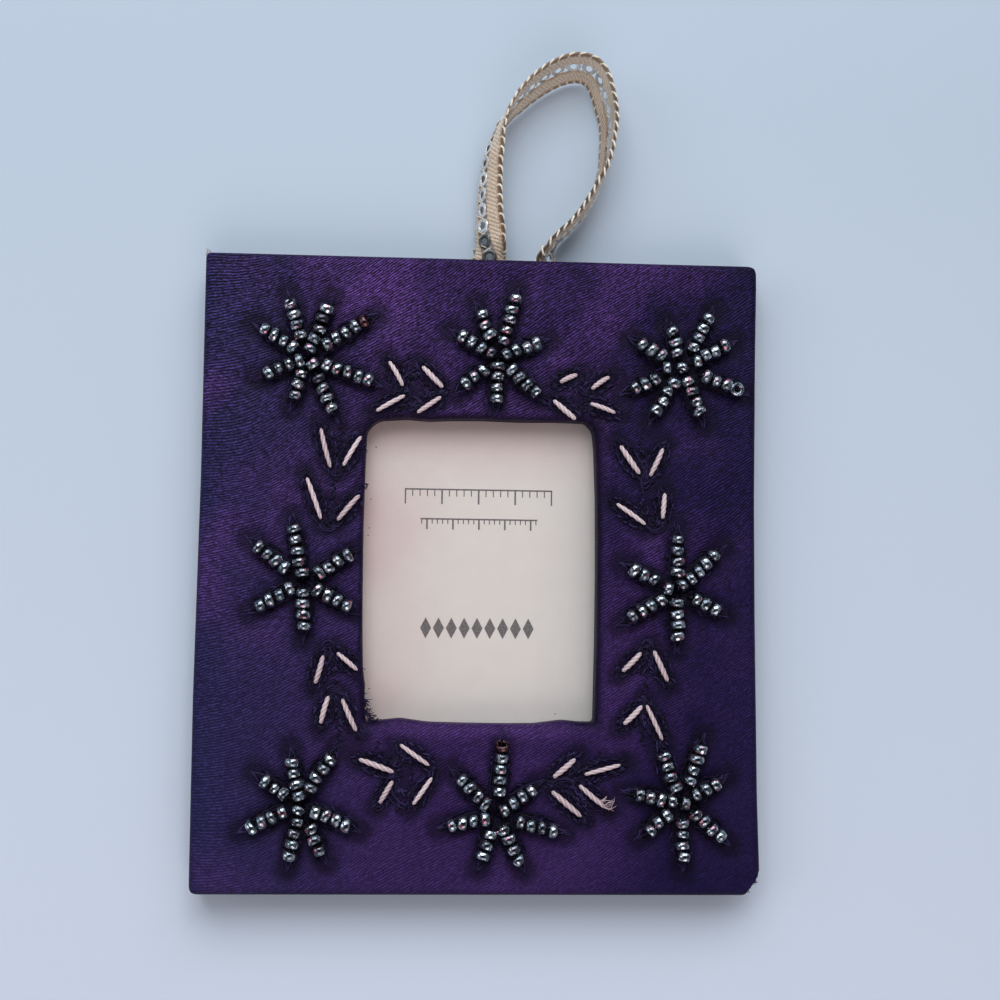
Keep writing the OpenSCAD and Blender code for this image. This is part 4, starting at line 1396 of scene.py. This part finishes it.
@dataclass
class FrontPanel(SatinPanel):
    """The padded front: its satin has the window, and is pulled down by the stitching.

    left_wave, right_wave, top_wave, bottom_wave: the place along each edge of the window,
    and how far the satin strays there. wave_flat, wave_fade: how far from the edge it strays
    by the whole of that, and by less and less. wave_end: the same at the edge's ends.
    bead_pull, stitch_pull, fork_pull: how far from a string, a pale stitch and the line
    between two of them the satin is held down flat.
    """

    window: Span = WINDOW_SIZE
    window_centre: Span = WINDOW_CENTRE
    rim: float = 1.0
    window_turn_in: float = 6.0
    window_corners: Corners = (
        (-1, 1, 3.0), (1, 1, 2.0), (-1, -1, 0.5), (1, -1, 0.5))
    left_wave: Line = (
        (-24, 0.7), (-19.5, 0.4), (-18.5, 0.5), (-16, 0.1), (-8, -0.15), (0, -0.22), (8, -0.25),
        (17, -0.1), (24, 0.05))
    right_wave: Line = (
        (-24, -0.4), (-10, -0.15), (0, -0.1), (12, -0.2), (20, -0.5), (24, -0.9))
    top_wave: Line = (
        (-18, -0.3), (-12, 0.1), (-8.5, -0.15), (-5, 0.05), (0, 0.15), (6, 0.0), (12, 0.1),
        (18, 0.0))
    bottom_wave: Line = (
        (-18, -0.1), (-15, 0.2), (-12.5, 0.5), (-8, -0.1), (-2, -0.22), (4, -0.25), (9, -0.2),
        (13.5, 0.4), (16, 0.15), (18.5, 0.1))
    wave_flat: float = 0.6
    wave_fade: float = 3.0
    wave_end: float = 1.5
    bead_pull: float = 1.3
    stitch_pull: float = 1.3
    fork_pull: float = 1.2

    def knots(self) -> tuple[list[float], list[float], list[int], list[int]]:
        """Returns the grid's knots, with the window's rim among them."""
        half_x, half_y = self.width / 2 - self.edge, self.height / 2 - self.edge
        (cx, cy), (w, h) = self.window_centre, self.window
        xs = [-half_x, cx - w / 2 - self.rim, cx + w / 2 + self.rim, half_x]
        ys = [-half_y, cy - h / 2 - self.rim, cy + h / 2 + self.rim, half_y]
        return xs, ys, [46, 66, 46], [46, 84, 46]

    def open_face(self, piece: bpy.types.Object) -> None:
        """Cuts the window out of the face, and lays its edges down through it."""
        (cx, cy), (w, h) = self.window_centre, self.window
        activate(piece)
        start_picking("FACE")
        for polygon in piece.data.polygons:
            x, y, _ = polygon.center
            polygon.select = abs(x - cx) < w / 2 + self.rim and abs(y - cy) < h / 2 + self.rim
        with editing(picked=True):
            bpy.ops.mesh.delete(type="FACE")
        half = (w / 2 + self.rim, h / 2 + self.rim)
        self.fall(piece, half, self.window_centre, self.rim, self.window_turn_in, -1)

    def round_window(self, points: np.ndarray) -> None:
        """Rounds the window's corners, in place."""
        (cx, cy), (w, h) = self.window_centre, self.window
        for side, end, radius in self.window_corners:
            u = (side * (points[:, 0] - cx) - (w / 2 - radius)) / radius
            v = (end * (points[:, 1] - cy) - (h / 2 - radius)) / radius
            most = np.maximum(u, v)
            near = (u > 0) & (v > 0) & (most < 6)
            u, v, most = u[near], v[near], np.maximum(most[near], 1e-6)
            keep = np.clip(1 - (most - 1) / 2.2, 0, 1)
            nu, nv = u / most, v / most
            x = radius * (u + (most * nu * np.sqrt(1 - nv * nv / 2) - u) * keep)
            y = radius * (v + (most * nv * np.sqrt(1 - nu * nu / 2) - v) * keep)
            points[near, 0] = cx + side * (w / 2 - radius + x)
            points[near, 1] = cy + end * (h / 2 - radius + y)

    def wave_window(self, points: np.ndarray) -> None:
        """Gives the window's edges their waves, in place."""
        (cx, cy), (w, h) = self.window_centre, self.window
        x, y = points[:, 0].copy(), points[:, 1].copy()
        past_x, past_y = np.abs(x - cx) - w / 2, np.abs(y - cy) - h / 2
        to_x = np.clip(1 - (np.abs(past_x) - self.wave_flat) / self.wave_fade, 0, 1)
        to_y = np.clip(1 - (np.abs(past_y) - self.wave_flat) / self.wave_fade, 0, 1)
        beside = np.clip((h / 2 + self.wave_end - np.abs(y - cy)) / self.wave_end, 0, 1)
        above = np.clip((w / 2 + self.wave_end - np.abs(x - cx)) / self.wave_end, 0, 1)
        left, right = follow(y, self.left_wave), follow(y, self.right_wave)
        top, bottom = follow(x, self.top_wave), follow(x, self.bottom_wave)
        points[:, 0] += to_x * beside * np.where(x < cx, left, right)
        points[:, 1] += to_y * above * np.where(y > cy, top, bottom)

    def stitch_distance(self, points: np.ndarray) -> np.ndarray:
        """Returns how far each point is from the nearest stitched shape, in millimetres."""
        best = np.full(len(points), 99.0)
        bars = []
        for flower in FLOWERS:
            centre = np.array(flower.centre)
            for angle, first, count in flower.strings:
                reach = string_end(first, count) + PETAL_TIP * 0.6
                bars.append((centre, centre + unit(angle) * reach, self.bead_pull))
        for spray in SPRAYS:
            middles = []
            for middle, angle, length in spray.laid():
                arm = unit(angle) * (length / 2 + LEAF_TIP * 0.6)
                bars.append((middle - arm, middle + arm, self.stitch_pull))
                middles.append(middle)
            bars += [(*middles[:2], self.fork_pull), (*middles[2:], self.fork_pull)]
        for a, b, radius in bars:
            t = np.clip(((points[:, :2] - a) @ (b - a)) / ((b - a) @ (b - a)), 0, 1)
            gap = np.linalg.norm(points[:, :2] - (a + t[:, None] * (b - a)), axis=1) - radius
            best = np.minimum(best, gap)
        return best

    def lay(self, points: np.ndarray) -> tuple[np.ndarray, np.ndarray]:
        """Shapes the front's satin in place, and returns its painted shade and painted highlight.
        """
        self.round_window(points)
        self.wave_window(points)
        self.round_corners(points)
        self.bow(points)
        clear = np.clip(self.stitch_distance(points), 0, None)
        (cx, cy), (w, h) = self.window_centre, self.window
        sill = cy - h / 2
        on_face = self.on_face(points, 0.8)
        swell = 1 - bell(clear, 2.2)
        waves = hills(points, 8, 2.0) + 0.4 * hills(points, 3.4, 5.0)
        creases = hills(points, 1.9, 9.0) * bell(clear, 1.6)
        roll = bell(points[:, 1] - (sill - 2.2), 1.5)
        roll *= np.clip((20 - np.abs(points[:, 0])) / 3, 0, 1)
        rise = 0.22 * swell + 0.13 * waves * (0.4 + swell) + 0.16 * creases + 0.3 * roll
        points[:, 2] += (rise - 0.03) * on_face
        side = np.clip(np.abs(points[:, 0] - cx) - w / 2, 0, None)
        end = np.clip(np.abs(points[:, 1] - cy) - h / 2, 0, None)
        # Painted shade: darker near the stitching, round the window's rim and down the walls.
        shade = np.maximum(0.76 * bell(clear, 0.9), 0.85 * bell(np.hypot(side, end), 0.8))
        shade = np.maximum(shade, 0.75 * (1 - on_face))
        # Painted highlight along the roll under the window, where the painted shade is mostly taken
        # off.
        roll_band = bell(points[:, 1] - (sill - 0.9), 1.7)
        roll_band *= np.clip((16.5 - np.abs(points[:, 0])) / 3, 0, 1)
        return shade * (1 - 0.8 * roll_band), roll_band

    def flat_area(self, flat: Span) -> float:
        """Returns the area of the cut cloth without its window, in square metres."""
        wall = 2 * (self.face - self.foot + self.window_turn_in)
        hole = (self.window[0] - wall) * (self.window[1] - wall) * MM * MM
        return flat[0] * flat[1] - hole


# ---------------------------------------------------------------- beads and stitches


class BeadKind(Enum):
    """How a bead differs from the rest: its tone, and how far it is turned up."""

    PLAIN = (0.5, 0)
    SMOKE = (-1.0, 0)
    WINE = (2.0, 35)
    TURNED = (0.7, 50)
    UPRIGHT = (0.6, 75)

    @property
    def tone(self) -> float:
        """Returns the bead's tone."""
        return self.value[0]

    @property
    def raised(self) -> float:
        """Returns how far it is turned up, in degrees."""
        return self.value[1]


ODD_BEADS = {
    ("top_left", 2, 4): BeadKind.WINE,
    ("top_left", 0, 3): BeadKind.TURNED,
    ("top_left", 1, 3): BeadKind.SMOKE,
    ("top_left", 4, 0): BeadKind.SMOKE,
    ("bottom_middle", 0, 4): BeadKind.WINE,
    ("top_right", 3, 3): BeadKind.UPRIGHT,
}


@dataclass
class BeadStrings:
    """The seed beads of the eight flowers.

    turn, nod: by how many degrees a bead strays sideways and up. aside: how far off its
    string it lies. sizes, lengths: the least and the most of them, as shares.
    """

    radius: float = 1.1
    hole: float = 0.4
    half_length: float = 0.8
    widen: float = 1.07
    turn: float = 14
    nod: float = 10
    aside: float = 0.14
    sizes: Span = (0.92, 1.04)
    lengths: Span = (0.82, 1.02)

    def template(self) -> Template:
        """Models one bead, its hole along X, in millimetres."""
        clear_selection()
        middle, wall = (self.radius + self.hole) / 2, (self.radius - self.hole) / 2
        bpy.ops.mesh.primitive_torus_add(
            major_segments=16, minor_segments=8, major_radius=middle, minor_radius=wall,
            rotation=(0, math.pi / 2, 0))
        bead = bpy.context.object
        bpy.ops.object.transform_apply(location=True, rotation=True, scale=True)
        with editing():
            bpy.ops.transform.resize(value=(self.half_length / wall, 1, 1))
        points = coordinates(bead)
        reach = np.hypot(points[:, 1], points[:, 2])
        outer = reach > self.radius * 0.75
        grow = np.where(outer & (np.abs(points[:, 0]) > 0.1), 1.04, 1.0)
        points[:, 1:] *= grow[:, None]
        move_vertices(bead, points)
        return Template.take(bead)

    def lay(self, at: np.ndarray, bottom: float, angle: float, raised: float) -> Matrix:
        """Returns the matrix that lays one bead on its string, a little off true.

        Args:
            at: where the string has it, in millimetres.
            bottom: the height that it rests on.
            angle: the string's angle, in degrees.
            raised: how far it is turned up, in degrees.
        """
        turn = turned(angle + DRAW.uniform(-self.turn, self.turn), "Z")
        nod = turned(-raised + DRAW.uniform(-self.nod, self.nod), "Y")
        roll = Matrix.Rotation(DRAW.uniform(0, 6.28), 4, "X")
        size = DRAW.uniform(*self.sizes)
        aside = unit(angle + 90) * DRAW.uniform(-self.aside, self.aside)
        place = Vector((*(at + aside), bottom + self.radius * size))
        shape = Matrix.Diagonal((DRAW.uniform(*self.lengths), size * 1.12, size, 1))
        wide = Matrix.Diagonal((1, self.widen, 1, 1))
        return stand(place, turn) @ nod @ wide @ roll @ shape

    def build(self, finish: bpy.types.Material) -> None:
        """Strings a copy of the bead at every place, one piece a flower."""
        template = self.template()
        for flower in FLOWERS:
            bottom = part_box("beads_" + flower.name)[0].z / MM
            matrices, tones = [], []
            for s, (angle, first, count) in enumerate(flower.strings):
                for i in range(count):
                    kind = ODD_BEADS.get((flower.name, s, i), BeadKind.PLAIN)
                    at = np.array(flower.centre) + unit(angle) * (first + i * BEAD_PITCH)
                    shade = DRAW.uniform(-0.5, 0.5)
                    tones.append(kind.tone + (shade if kind is BeadKind.PLAIN else 0))
                    matrices.append(self.lay(at, bottom, angle, kind.raised))
            piece = template.placed("glass_" + flower.name, matrices, np.array(tones))
            dress(piece, finish, "beads_" + flower.name)


@dataclass
class Embroidery:
    """The dark thread of the petals and leaves, and the pale floss.

    base: the height of the satin. frayed: the spray and the number of the frayed stitch.
    arm, lift, rise, radius, bend: the least and the most of a short stitch's half length, its
    height over the satin, the rise of its middle, its thickness and its bend.
    petal_fill, leaf_fill, fork_fill, hairs: how many threads are strewn in each.
    """

    base: float = FACE
    arm: Span = (0.25, 0.6)
    lift: Span = (0.02, 0.14)
    rise: Span = (0.06, 0.2)
    radius: Span = (0.08, 0.14)
    bend: Span = (-0.18, 0.18)
    long_threads: int = 9
    long_radius: Span = (0.16, 0.24)
    tip_overhang: float = 0.9
    petal_fill: int = 14
    petal_step: float = 0.5
    leaf_fill: int = 64
    leaf_step: float = 0.55
    fork_fill: int = 46
    hairs: int = 16
    knot_pitch: float = 1.5
    knot_radius: Span = (0.14, 0.19)
    petal_width: float = 3.1
    floss_lift: float = 0.42
    floss_rise: float = 0.4
    frayed: tuple[str, int] = ("bottom_right", 3)

    def thread_at(self, a: np.ndarray, b: np.ndarray, low: float, rise: float, radius: float,
                  tone: float, sideways: float = 0.0) -> Thread:
        """Returns a thread that rises in its middle and bends sideways.

        Args:
            a: the x and y of its start.
            b: the x and y of its end.
            low: the height of both ends.
            rise: how much higher its middle lies.
            radius: its thickness.
            tone: its tone.
            sideways: how far its middle is pushed to the left.
        """
        middle = (a + b) / 2
        way = (b - a) / (np.linalg.norm(b - a) + 1e-9)
        middle = middle + np.array([-way[1], way[0]]) * sideways
        return Thread((*a, low), (*middle, low + rise), (*b, low), radius, tone)

    def tone(self) -> float:
        """Draws a thread's tone: mostly dark, now and then lighter, as a painted glint."""
        return DRAW.uniform(0.0, 0.3) if DRAW.random() < 0.86 else DRAW.uniform(0.4, 1.0)

    def short(self, at: np.ndarray, angle: float, tone: float | None = None) -> Thread:
        """Returns one short raised stitch round a place."""
        arm = unit(angle) * DRAW.uniform(*self.arm)
        return self.thread_at(
            at - arm, at + arm, self.base + DRAW.uniform(*self.lift), DRAW.uniform(*self.rise),
            DRAW.uniform(*self.radius), self.tone() if tone is None else tone,
            DRAW.uniform(*self.bend))

    def outline(self, start: np.ndarray, angle: float, length: float, width: float,
                step: float) -> list[Thread]:
        """Returns short overlapping stitches along both sides of a pointed shape.

        Args:
            start: the shape's root.
            angle: the way that it points, in degrees.
            length: its length.
            width: its greatest width.
            step: the distance from stitch to stitch.
        """
        way, left = axes(angle)
        made = []
        for side in (-1, 1):
            t = 0.02
            while t < 0.98:
                half = lens_half_width(t, width) + DRAW.uniform(-0.3, 0.2)
                slope = (0.5 - t) * width / length * 2.6 * side
                at = start + way * (t * length) + left * (side * half)
                turn = math.degrees(math.atan(slope))
                made.append(self.short(at, angle + turn + DRAW.uniform(-40, 40)))
                t += step / length * DRAW.uniform(0.7, 1.3)
        return made

    def fill(self, start: np.ndarray, angle: float, length: float, width: float, count: int
             ) -> list[Thread]:
        """Returns short stitches strewn inside a pointed shape, mostly along it.

        Args:
            start: the shape's root.
            angle: the way that it points, in degrees.
            length: its length.
            width: its greatest width.
            count: how many stitches there are.
        """
        way, left = axes(angle)
        made = []
        for _ in range(count):
            t = DRAW.uniform(0.04, 0.96)
            half = lens_half_width(t, width)
            at = start + way * (t * length) + left * DRAW.uniform(-half, half)
            made.append(self.short(at, angle + DRAW.uniform(-45, 45)))
        return made

    def petal(self, centre: np.ndarray, angle: float, length: float) -> list[Thread]:
        """Returns the threads of one petal: long ones that meet at the tip, then its outline."""
        way, left = axes(angle)
        tip = centre + way * length
        made = []
        half = self.long_threads // 2
        for k in range(self.long_threads):
            offset = (k - half) / half * self.petal_width * 0.42
            a = centre + left * offset * 0.5 + way * DRAW.uniform(0, 0.8)
            b = tip + left * DRAW.uniform(-0.12, 0.12) - way * DRAW.uniform(0, 1.6)
            middle = (a + b) / 2 + left * offset * DRAW.uniform(0.55, 0.8)
            low = self.base + 0.03
            made.append(Thread((*a, low), (*middle, low + 0.1), (*b, low),
                               DRAW.uniform(*self.long_radius), DRAW.uniform(0, 0.2)))
        shape = (centre + way * 0.8, angle, length - 0.9, self.petal_width)
        made += self.outline(*shape, self.petal_step) + self.fill(*shape, self.petal_fill)
        for side in (-1, 1):
            shoulder = tip - way * DRAW.uniform(2.2, 3.4) + left * side * DRAW.uniform(0.6, 1.1)
            made.append(self.thread_at(
                shoulder, tip + way * DRAW.uniform(0, 0.5), self.base + 0.12, 0.12, 0.11,
                DRAW.uniform(0.35, 0.9), DRAW.uniform(-0.2, 0.2)))
        for _ in range(3):
            far = unit(angle + DRAW.uniform(-35, 35)) * DRAW.uniform(0.2, 0.9)
            back = tip - way * DRAW.uniform(0.6, 1.4)
            made.append(self.thread_at(back, tip + far, self.base + 0.06, 0.1, 0.09,
                                       DRAW.uniform(0.1, 0.6), DRAW.uniform(-0.35, 0.35)))
        return made

    def leaf(self, start: np.ndarray, angle: float, length: float) -> list[Thread]:
        """Returns the threads of one leaf: a dense ground, and small knots along its sides."""
        way, left = axes(angle)
        made = self.fill(start, angle, length, LEAF_WIDTH * 1.25, self.leaf_fill)
        made += self.outline(start, angle, length, LEAF_WIDTH, self.leaf_step)
        for side in (-1, 1):
            t = DRAW.uniform(0.1, 0.2)
            while t < 0.92:
                beside = side * (lens_half_width(t, LEAF_WIDTH) + 0.1)
                at = start + way * (t * length) + left * beside
                knot = self.short(at, angle + DRAW.uniform(-20, 20), DRAW.uniform(0.1, 0.55))
                knot.radius = DRAW.uniform(*self.knot_radius)
                made.append(knot)
                t += self.knot_pitch / length * DRAW.uniform(0.8, 1.2)
        return made

    def between(self, first: tuple[np.ndarray, np.ndarray], second: tuple[np.ndarray, np.ndarray]
                ) -> list[Thread]:
        """Returns the stitches that fill the fork of two leaves and close it with a curve."""
        if np.linalg.norm(first[1] - second[0]) < np.linalg.norm(first[0] - second[0]):
            first = first[::-1]
        if np.linalg.norm(first[0] - second[1]) < np.linalg.norm(first[0] - second[0]):
            second = second[::-1]
        made = []
        for _ in range(self.fork_fill):
            t, across = DRAW.uniform(-0.1, 0.85), DRAW.uniform(0, 1)
            a, b = first[0] + (first[1] - first[0]) * t, second[0] + (second[1] - second[0]) * t
            way = (first[1] - first[0]) * (1 - across) + (second[1] - second[0]) * across
            at = a + (b - a) * across
            made.append(self.short(at, heading(way) + DRAW.uniform(-50, 50)))
        out = (first[0] + second[0]) / 2 - (first[1] + second[1]) / 2
        out = out / np.linalg.norm(out)
        gap = second[0] - first[0]
        bow = 0.9 if gap[0] * out[1] - gap[1] * out[0] > 0 else -0.9
        for k in range(3):
            shift = out * (0.5 + 0.35 * k)
            made.append(self.thread_at(first[0] + shift, second[0] + shift, self.base + 0.1, 0.12,
                                       0.12, DRAW.uniform(0.15, 0.6), bow * DRAW.uniform(0.7, 1.2)))
        return made

    def stem(self, ends: list[tuple[np.ndarray, np.ndarray]]) -> list[Thread]:
        """Returns the chain of small dark stitches that runs through a spray's two pairs."""
        middles = []
        for (a, b), (c, d) in ((ends[0], ends[1]), (ends[2], ends[3])):
            straight = np.linalg.norm(a - c) + np.linalg.norm(b - d)
            if straight > np.linalg.norm(a - d) + np.linalg.norm(b - c):
                c, d = d, c
            middles += [(a + c) / 2, (b + d) / 2]
        way = (middles[2] + middles[3] - middles[0] - middles[1]) / 2
        way = way / np.linalg.norm(way)
        side = np.array([-way[1], way[0]])
        angle = heading(way)
        from_first = np.array(middles) - middles[0]
        order = np.argsort(from_first @ way)
        reach, aside = (from_first @ way)[order], (from_first @ side)[order]
        made = []
        along, turn = reach[0] - 1.5, 1
        while along < reach[-1] + 2.0:
            shift = np.interp(along, reach, aside)
            at = middles[0] + way * along + side * (shift + 0.2 * turn)
            for _ in range(2):
                made.append(self.short(at, angle + 35 * turn + DRAW.uniform(-25, 25)))
            along, turn = along + DRAW.uniform(0.5, 0.8), -turn
        return made

    def off_window(self, threads: list[Thread]) -> list[Thread]:
        """Returns the threads without those that would hang in the window or past an edge."""
        def within(p: Place, centre: Span, size: Span, margin: float) -> bool:
            """Returns whether a place is in a rectangle that is grown by a margin."""
            return all(abs(p[i] - centre[i]) < size[i] / 2 + margin for i in (0, 1))

        def kept(p: Place) -> bool:
            """Returns whether a thread may end at a place."""
            in_window = within(p, WINDOW_CENTRE, WINDOW_SIZE, 0.5)
            return not in_window and within(p, (0, 0), FRAME_SIZE, -1)

        return [a for a in threads if kept(a.start) and kept(a.end)]

    def floss(self, middle: np.ndarray, angle: float, length: float) -> Thread:
        """Returns one pale stitch, which rises in its middle."""
        way, left = axes(angle)
        end = way * (length / 2)
        low = self.base + self.floss_lift
        bend = left * DRAW.uniform(-0.12, 0.12)
        return Thread((*(middle - end), low), (*(middle + bend), low + self.floss_rise),
                      (*(middle + end), low), DRAW.uniform(0.38, 0.5), DRAW.uniform(0.5, 0.8))

    def fuzz(self, middle: np.ndarray, angle: float, length: float) -> list[Thread]:
        """Returns the fine loose fibres at the far end of the frayed stitch."""
        made = []
        for _ in range(self.hairs):
            at = middle + unit(angle) * length * DRAW.uniform(0.1, 0.5)
            far = at + unit(angle + DRAW.uniform(-5, 75)) * DRAW.uniform(1.0, 2.6)
            made.append(self.thread_at(at, far, self.base + 0.5, 0.5, 0.045,
                                       DRAW.uniform(0.2, 0.7), DRAW.uniform(-0.9, 0.3)))
        return made

    def build(self, dark: bpy.types.Material, pale: bpy.types.Material) -> None:
        """Builds the petals of each flower, and the leaves and floss of each spray."""
        strand = Strand(5, (0.12, 0.34, 0.66, 0.88), 0.3)
        plied = Strand(15, [k / 20 for k in range(1, 20)], 0.55).ply(3, 0.28, 1.6)
        for flower in FLOWERS:
            centre = np.array(flower.centre)
            threads = []
            for angle, first, count in flower.strings:
                if count > 1:
                    reach = string_end(first, count) + PETAL_TIP - self.tip_overhang
                    threads += self.petal(centre, angle, reach)
            dress(strand.lay("petal_threads_" + flower.name, self.off_window(threads)),
                  dark, "petals_" + flower.name)
        for spray in SPRAYS:
            threads, floss, ends = [], [], []
            for middle, angle, length in spray.laid():
                start = middle - unit(angle) * (length / 2 + LEAF_TIP)
                threads += self.leaf(start, angle, length + 2 * LEAF_TIP)
                floss.append(self.floss(middle, angle, length))
                ends.append((middle - unit(angle) * length / 2, middle + unit(angle) * length / 2))
            threads += self.between(ends[0], ends[1]) + self.between(ends[2], ends[3])
            threads += self.stem(ends)
            dress(strand.lay("leaf_threads_" + spray.name, self.off_window(threads)),
                  dark, "leaves_" + spray.name)
            dress(plied.lay("floss_" + spray.name, floss),
                  pale, "stitches_" + spray.name)
            if spray.name == self.frayed[0]:
                hairs = self.fuzz(*spray.laid()[self.frayed[1]])
                dress(strand.lay("floss_fuzz", hairs), pale)


Tuft = tuple[float, float, float, float, float, int, float]


@dataclass
class Frays:
    """Loose fibres at the frame's worn corners and along the window's edge.

    dark, pale: x, y, z of each tuft, its angle, its spread, how many fibres and how long.
    lint: x and y of each speck on the clear sheet.
    """

    dark: tuple[Tuft, ...] = (
        (-18.9, 14.0, 7.2, -60, 50, 16, 0.7), (-18.9, 13.2, 7.0, -70, 50, 8, 0.6),
        (-18.9, -16.0, 7.2, 0, 70, 12, 0.6), (-18.9, 19.0, 7.2, -10, 60, 7, 0.5),
        (-18.6, -19.4, 6.9, -50, 60, 18, 0.8), (-18.3, -20.8, 6.9, -40, 60, 26, 1.0),
        (-18.0, -22.3, 6.9, -30, 70, 30, 1.1), (-17.4, -23.4, 6.9, 10, 80, 26, 1.1),
        (-16.4, -24.2, 6.9, 40, 70, 16, 0.9), (44.6, -49.0, 5.6, -30, 60, 12, 0.7),
        (43.6, -50.2, 5.0, -60, 60, 12, 0.7), (44.8, -46.8, 5.0, 0, 60, 7, 0.4))
    pale: tuple[Tuft, ...] = (
        (-44.6, 50.5, 7.2, 135, 60, 12, 0.7), (44.6, -48.4, 5.2, -20, 50, 4, 0.6),
        (43.0, -50.4, 4.6, -70, 50, 4, 0.6))
    lint: Line = (
        (-17.2, 20.1), (-17.9, 11.6), (-18.1, 6.9), (-18.2, 5.7), (-17.6, -19.0), (12.5, -22.8))
    lint_height: float = 3.68

    def tuft(self, row: Tuft) -> list[Thread]:
        """Returns the fibres of one tuft."""
        x, y, z, angle, spread, count, length = row
        made = []
        for _ in range(count):
            a = np.array([x, y]) + (DRAW.uniform(-0.35, 0.35), DRAW.uniform(-0.35, 0.35))
            b = a + unit(angle + DRAW.uniform(-spread, spread)) * length * DRAW.uniform(0.4, 1.2)
            bend = (a + b) / 2 + (DRAW.uniform(-0.2, 0.2), DRAW.uniform(-0.2, 0.2))
            made.append(Thread((*a, z), (*bend, z + DRAW.uniform(-0.1, 0.3)),
                               (*b, z + DRAW.uniform(-0.3, 0.3)), DRAW.uniform(0.04, 0.09),
                               DRAW.uniform(0.0, 0.6)))
        return made

    def build(self, dark: bpy.types.Material, pale: bpy.types.Material) -> None:
        """Builds the dark and the pale fibres, and the lint on the clear sheet."""
        strand = Strand(4, (0.3, 0.7), 0.4)
        z = self.lint_height
        lint = [Thread((x, y, z), (x + 0.1, y + 0.05, z + 0.02), (x + 0.2, y, z), 0.09, 0.0)
                for x, y in self.lint]
        rows = (("dark_thread", dark, self.dark, lint), ("pale_floss", pale, self.pale, []))
        for slot, finish, tufts, more in rows:
            threads = [thread for row in tufts for thread in self.tuft(row)] + more
            dress(strand.lay("frays_" + slot, threads), finish)


@dataclass
class Boards:
    """The CAD nodes that stay: boards, spacers, lining, wadding, card, sheet and bead thread."""

    def build(self, thread: bpy.types.Material) -> None:
        """Gives each node that stays its finish."""
        board = Stock("grey_board", linear(168, 162, 152), linear(138, 132, 124)).make()
        paper = Stock("lining_paper", linear(226, 220, 208), linear(208, 202, 190), 0.2).make()
        wool = Stock("wadding", linear(236, 234, 228), linear(216, 214, 208), 0.5).make()
        finishes = {
            "back_board": board, "front_board": board, "spacer_left": board,
            "spacer_bottom": board, "spacer_top_left": board, "spacer_top_right": board,
            "back_lining": paper, "wadding": wool, "insert_card": InsertCard().make(),
            "window_sheet": ClearSheet().make(), "bead_threads": thread}
        for name, finish in finishes.items():
            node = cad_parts[name]
            node.data.materials.clear()
            node.data.materials.append(finish)
            LOG.info("%s: finished", name)


def main() -> None:
    """Builds the whole scene, class by class."""
    logging.basicConfig(level=logging.INFO, format="%(message)s")
    Studio().build()
    RibbonLoop().build()
    satin = Satin("purple_satin").make()
    dark = Yarn("dark_thread", linear(5, 3, 14), linear(60, 49, 98), 0.0).make()
    pale = Yarn("pale_floss", linear(146, 112, 124), linear(238, 221, 223), 0.1).make()
    FrontPanel().build("front_satin", satin, "front_cover", ["front_board", "wadding"])
    SatinPanel(face=2.7, foot=0.0, up=-1).build("back_satin", satin, "back_cover", ["back_board"])
    Embroidery().build(dark, pale)
    BeadStrings().build(BeadGlass().make())
    Frays().build(dark, pale)
    Boards().build(dark)


if __name__ == "__main__":
    main()
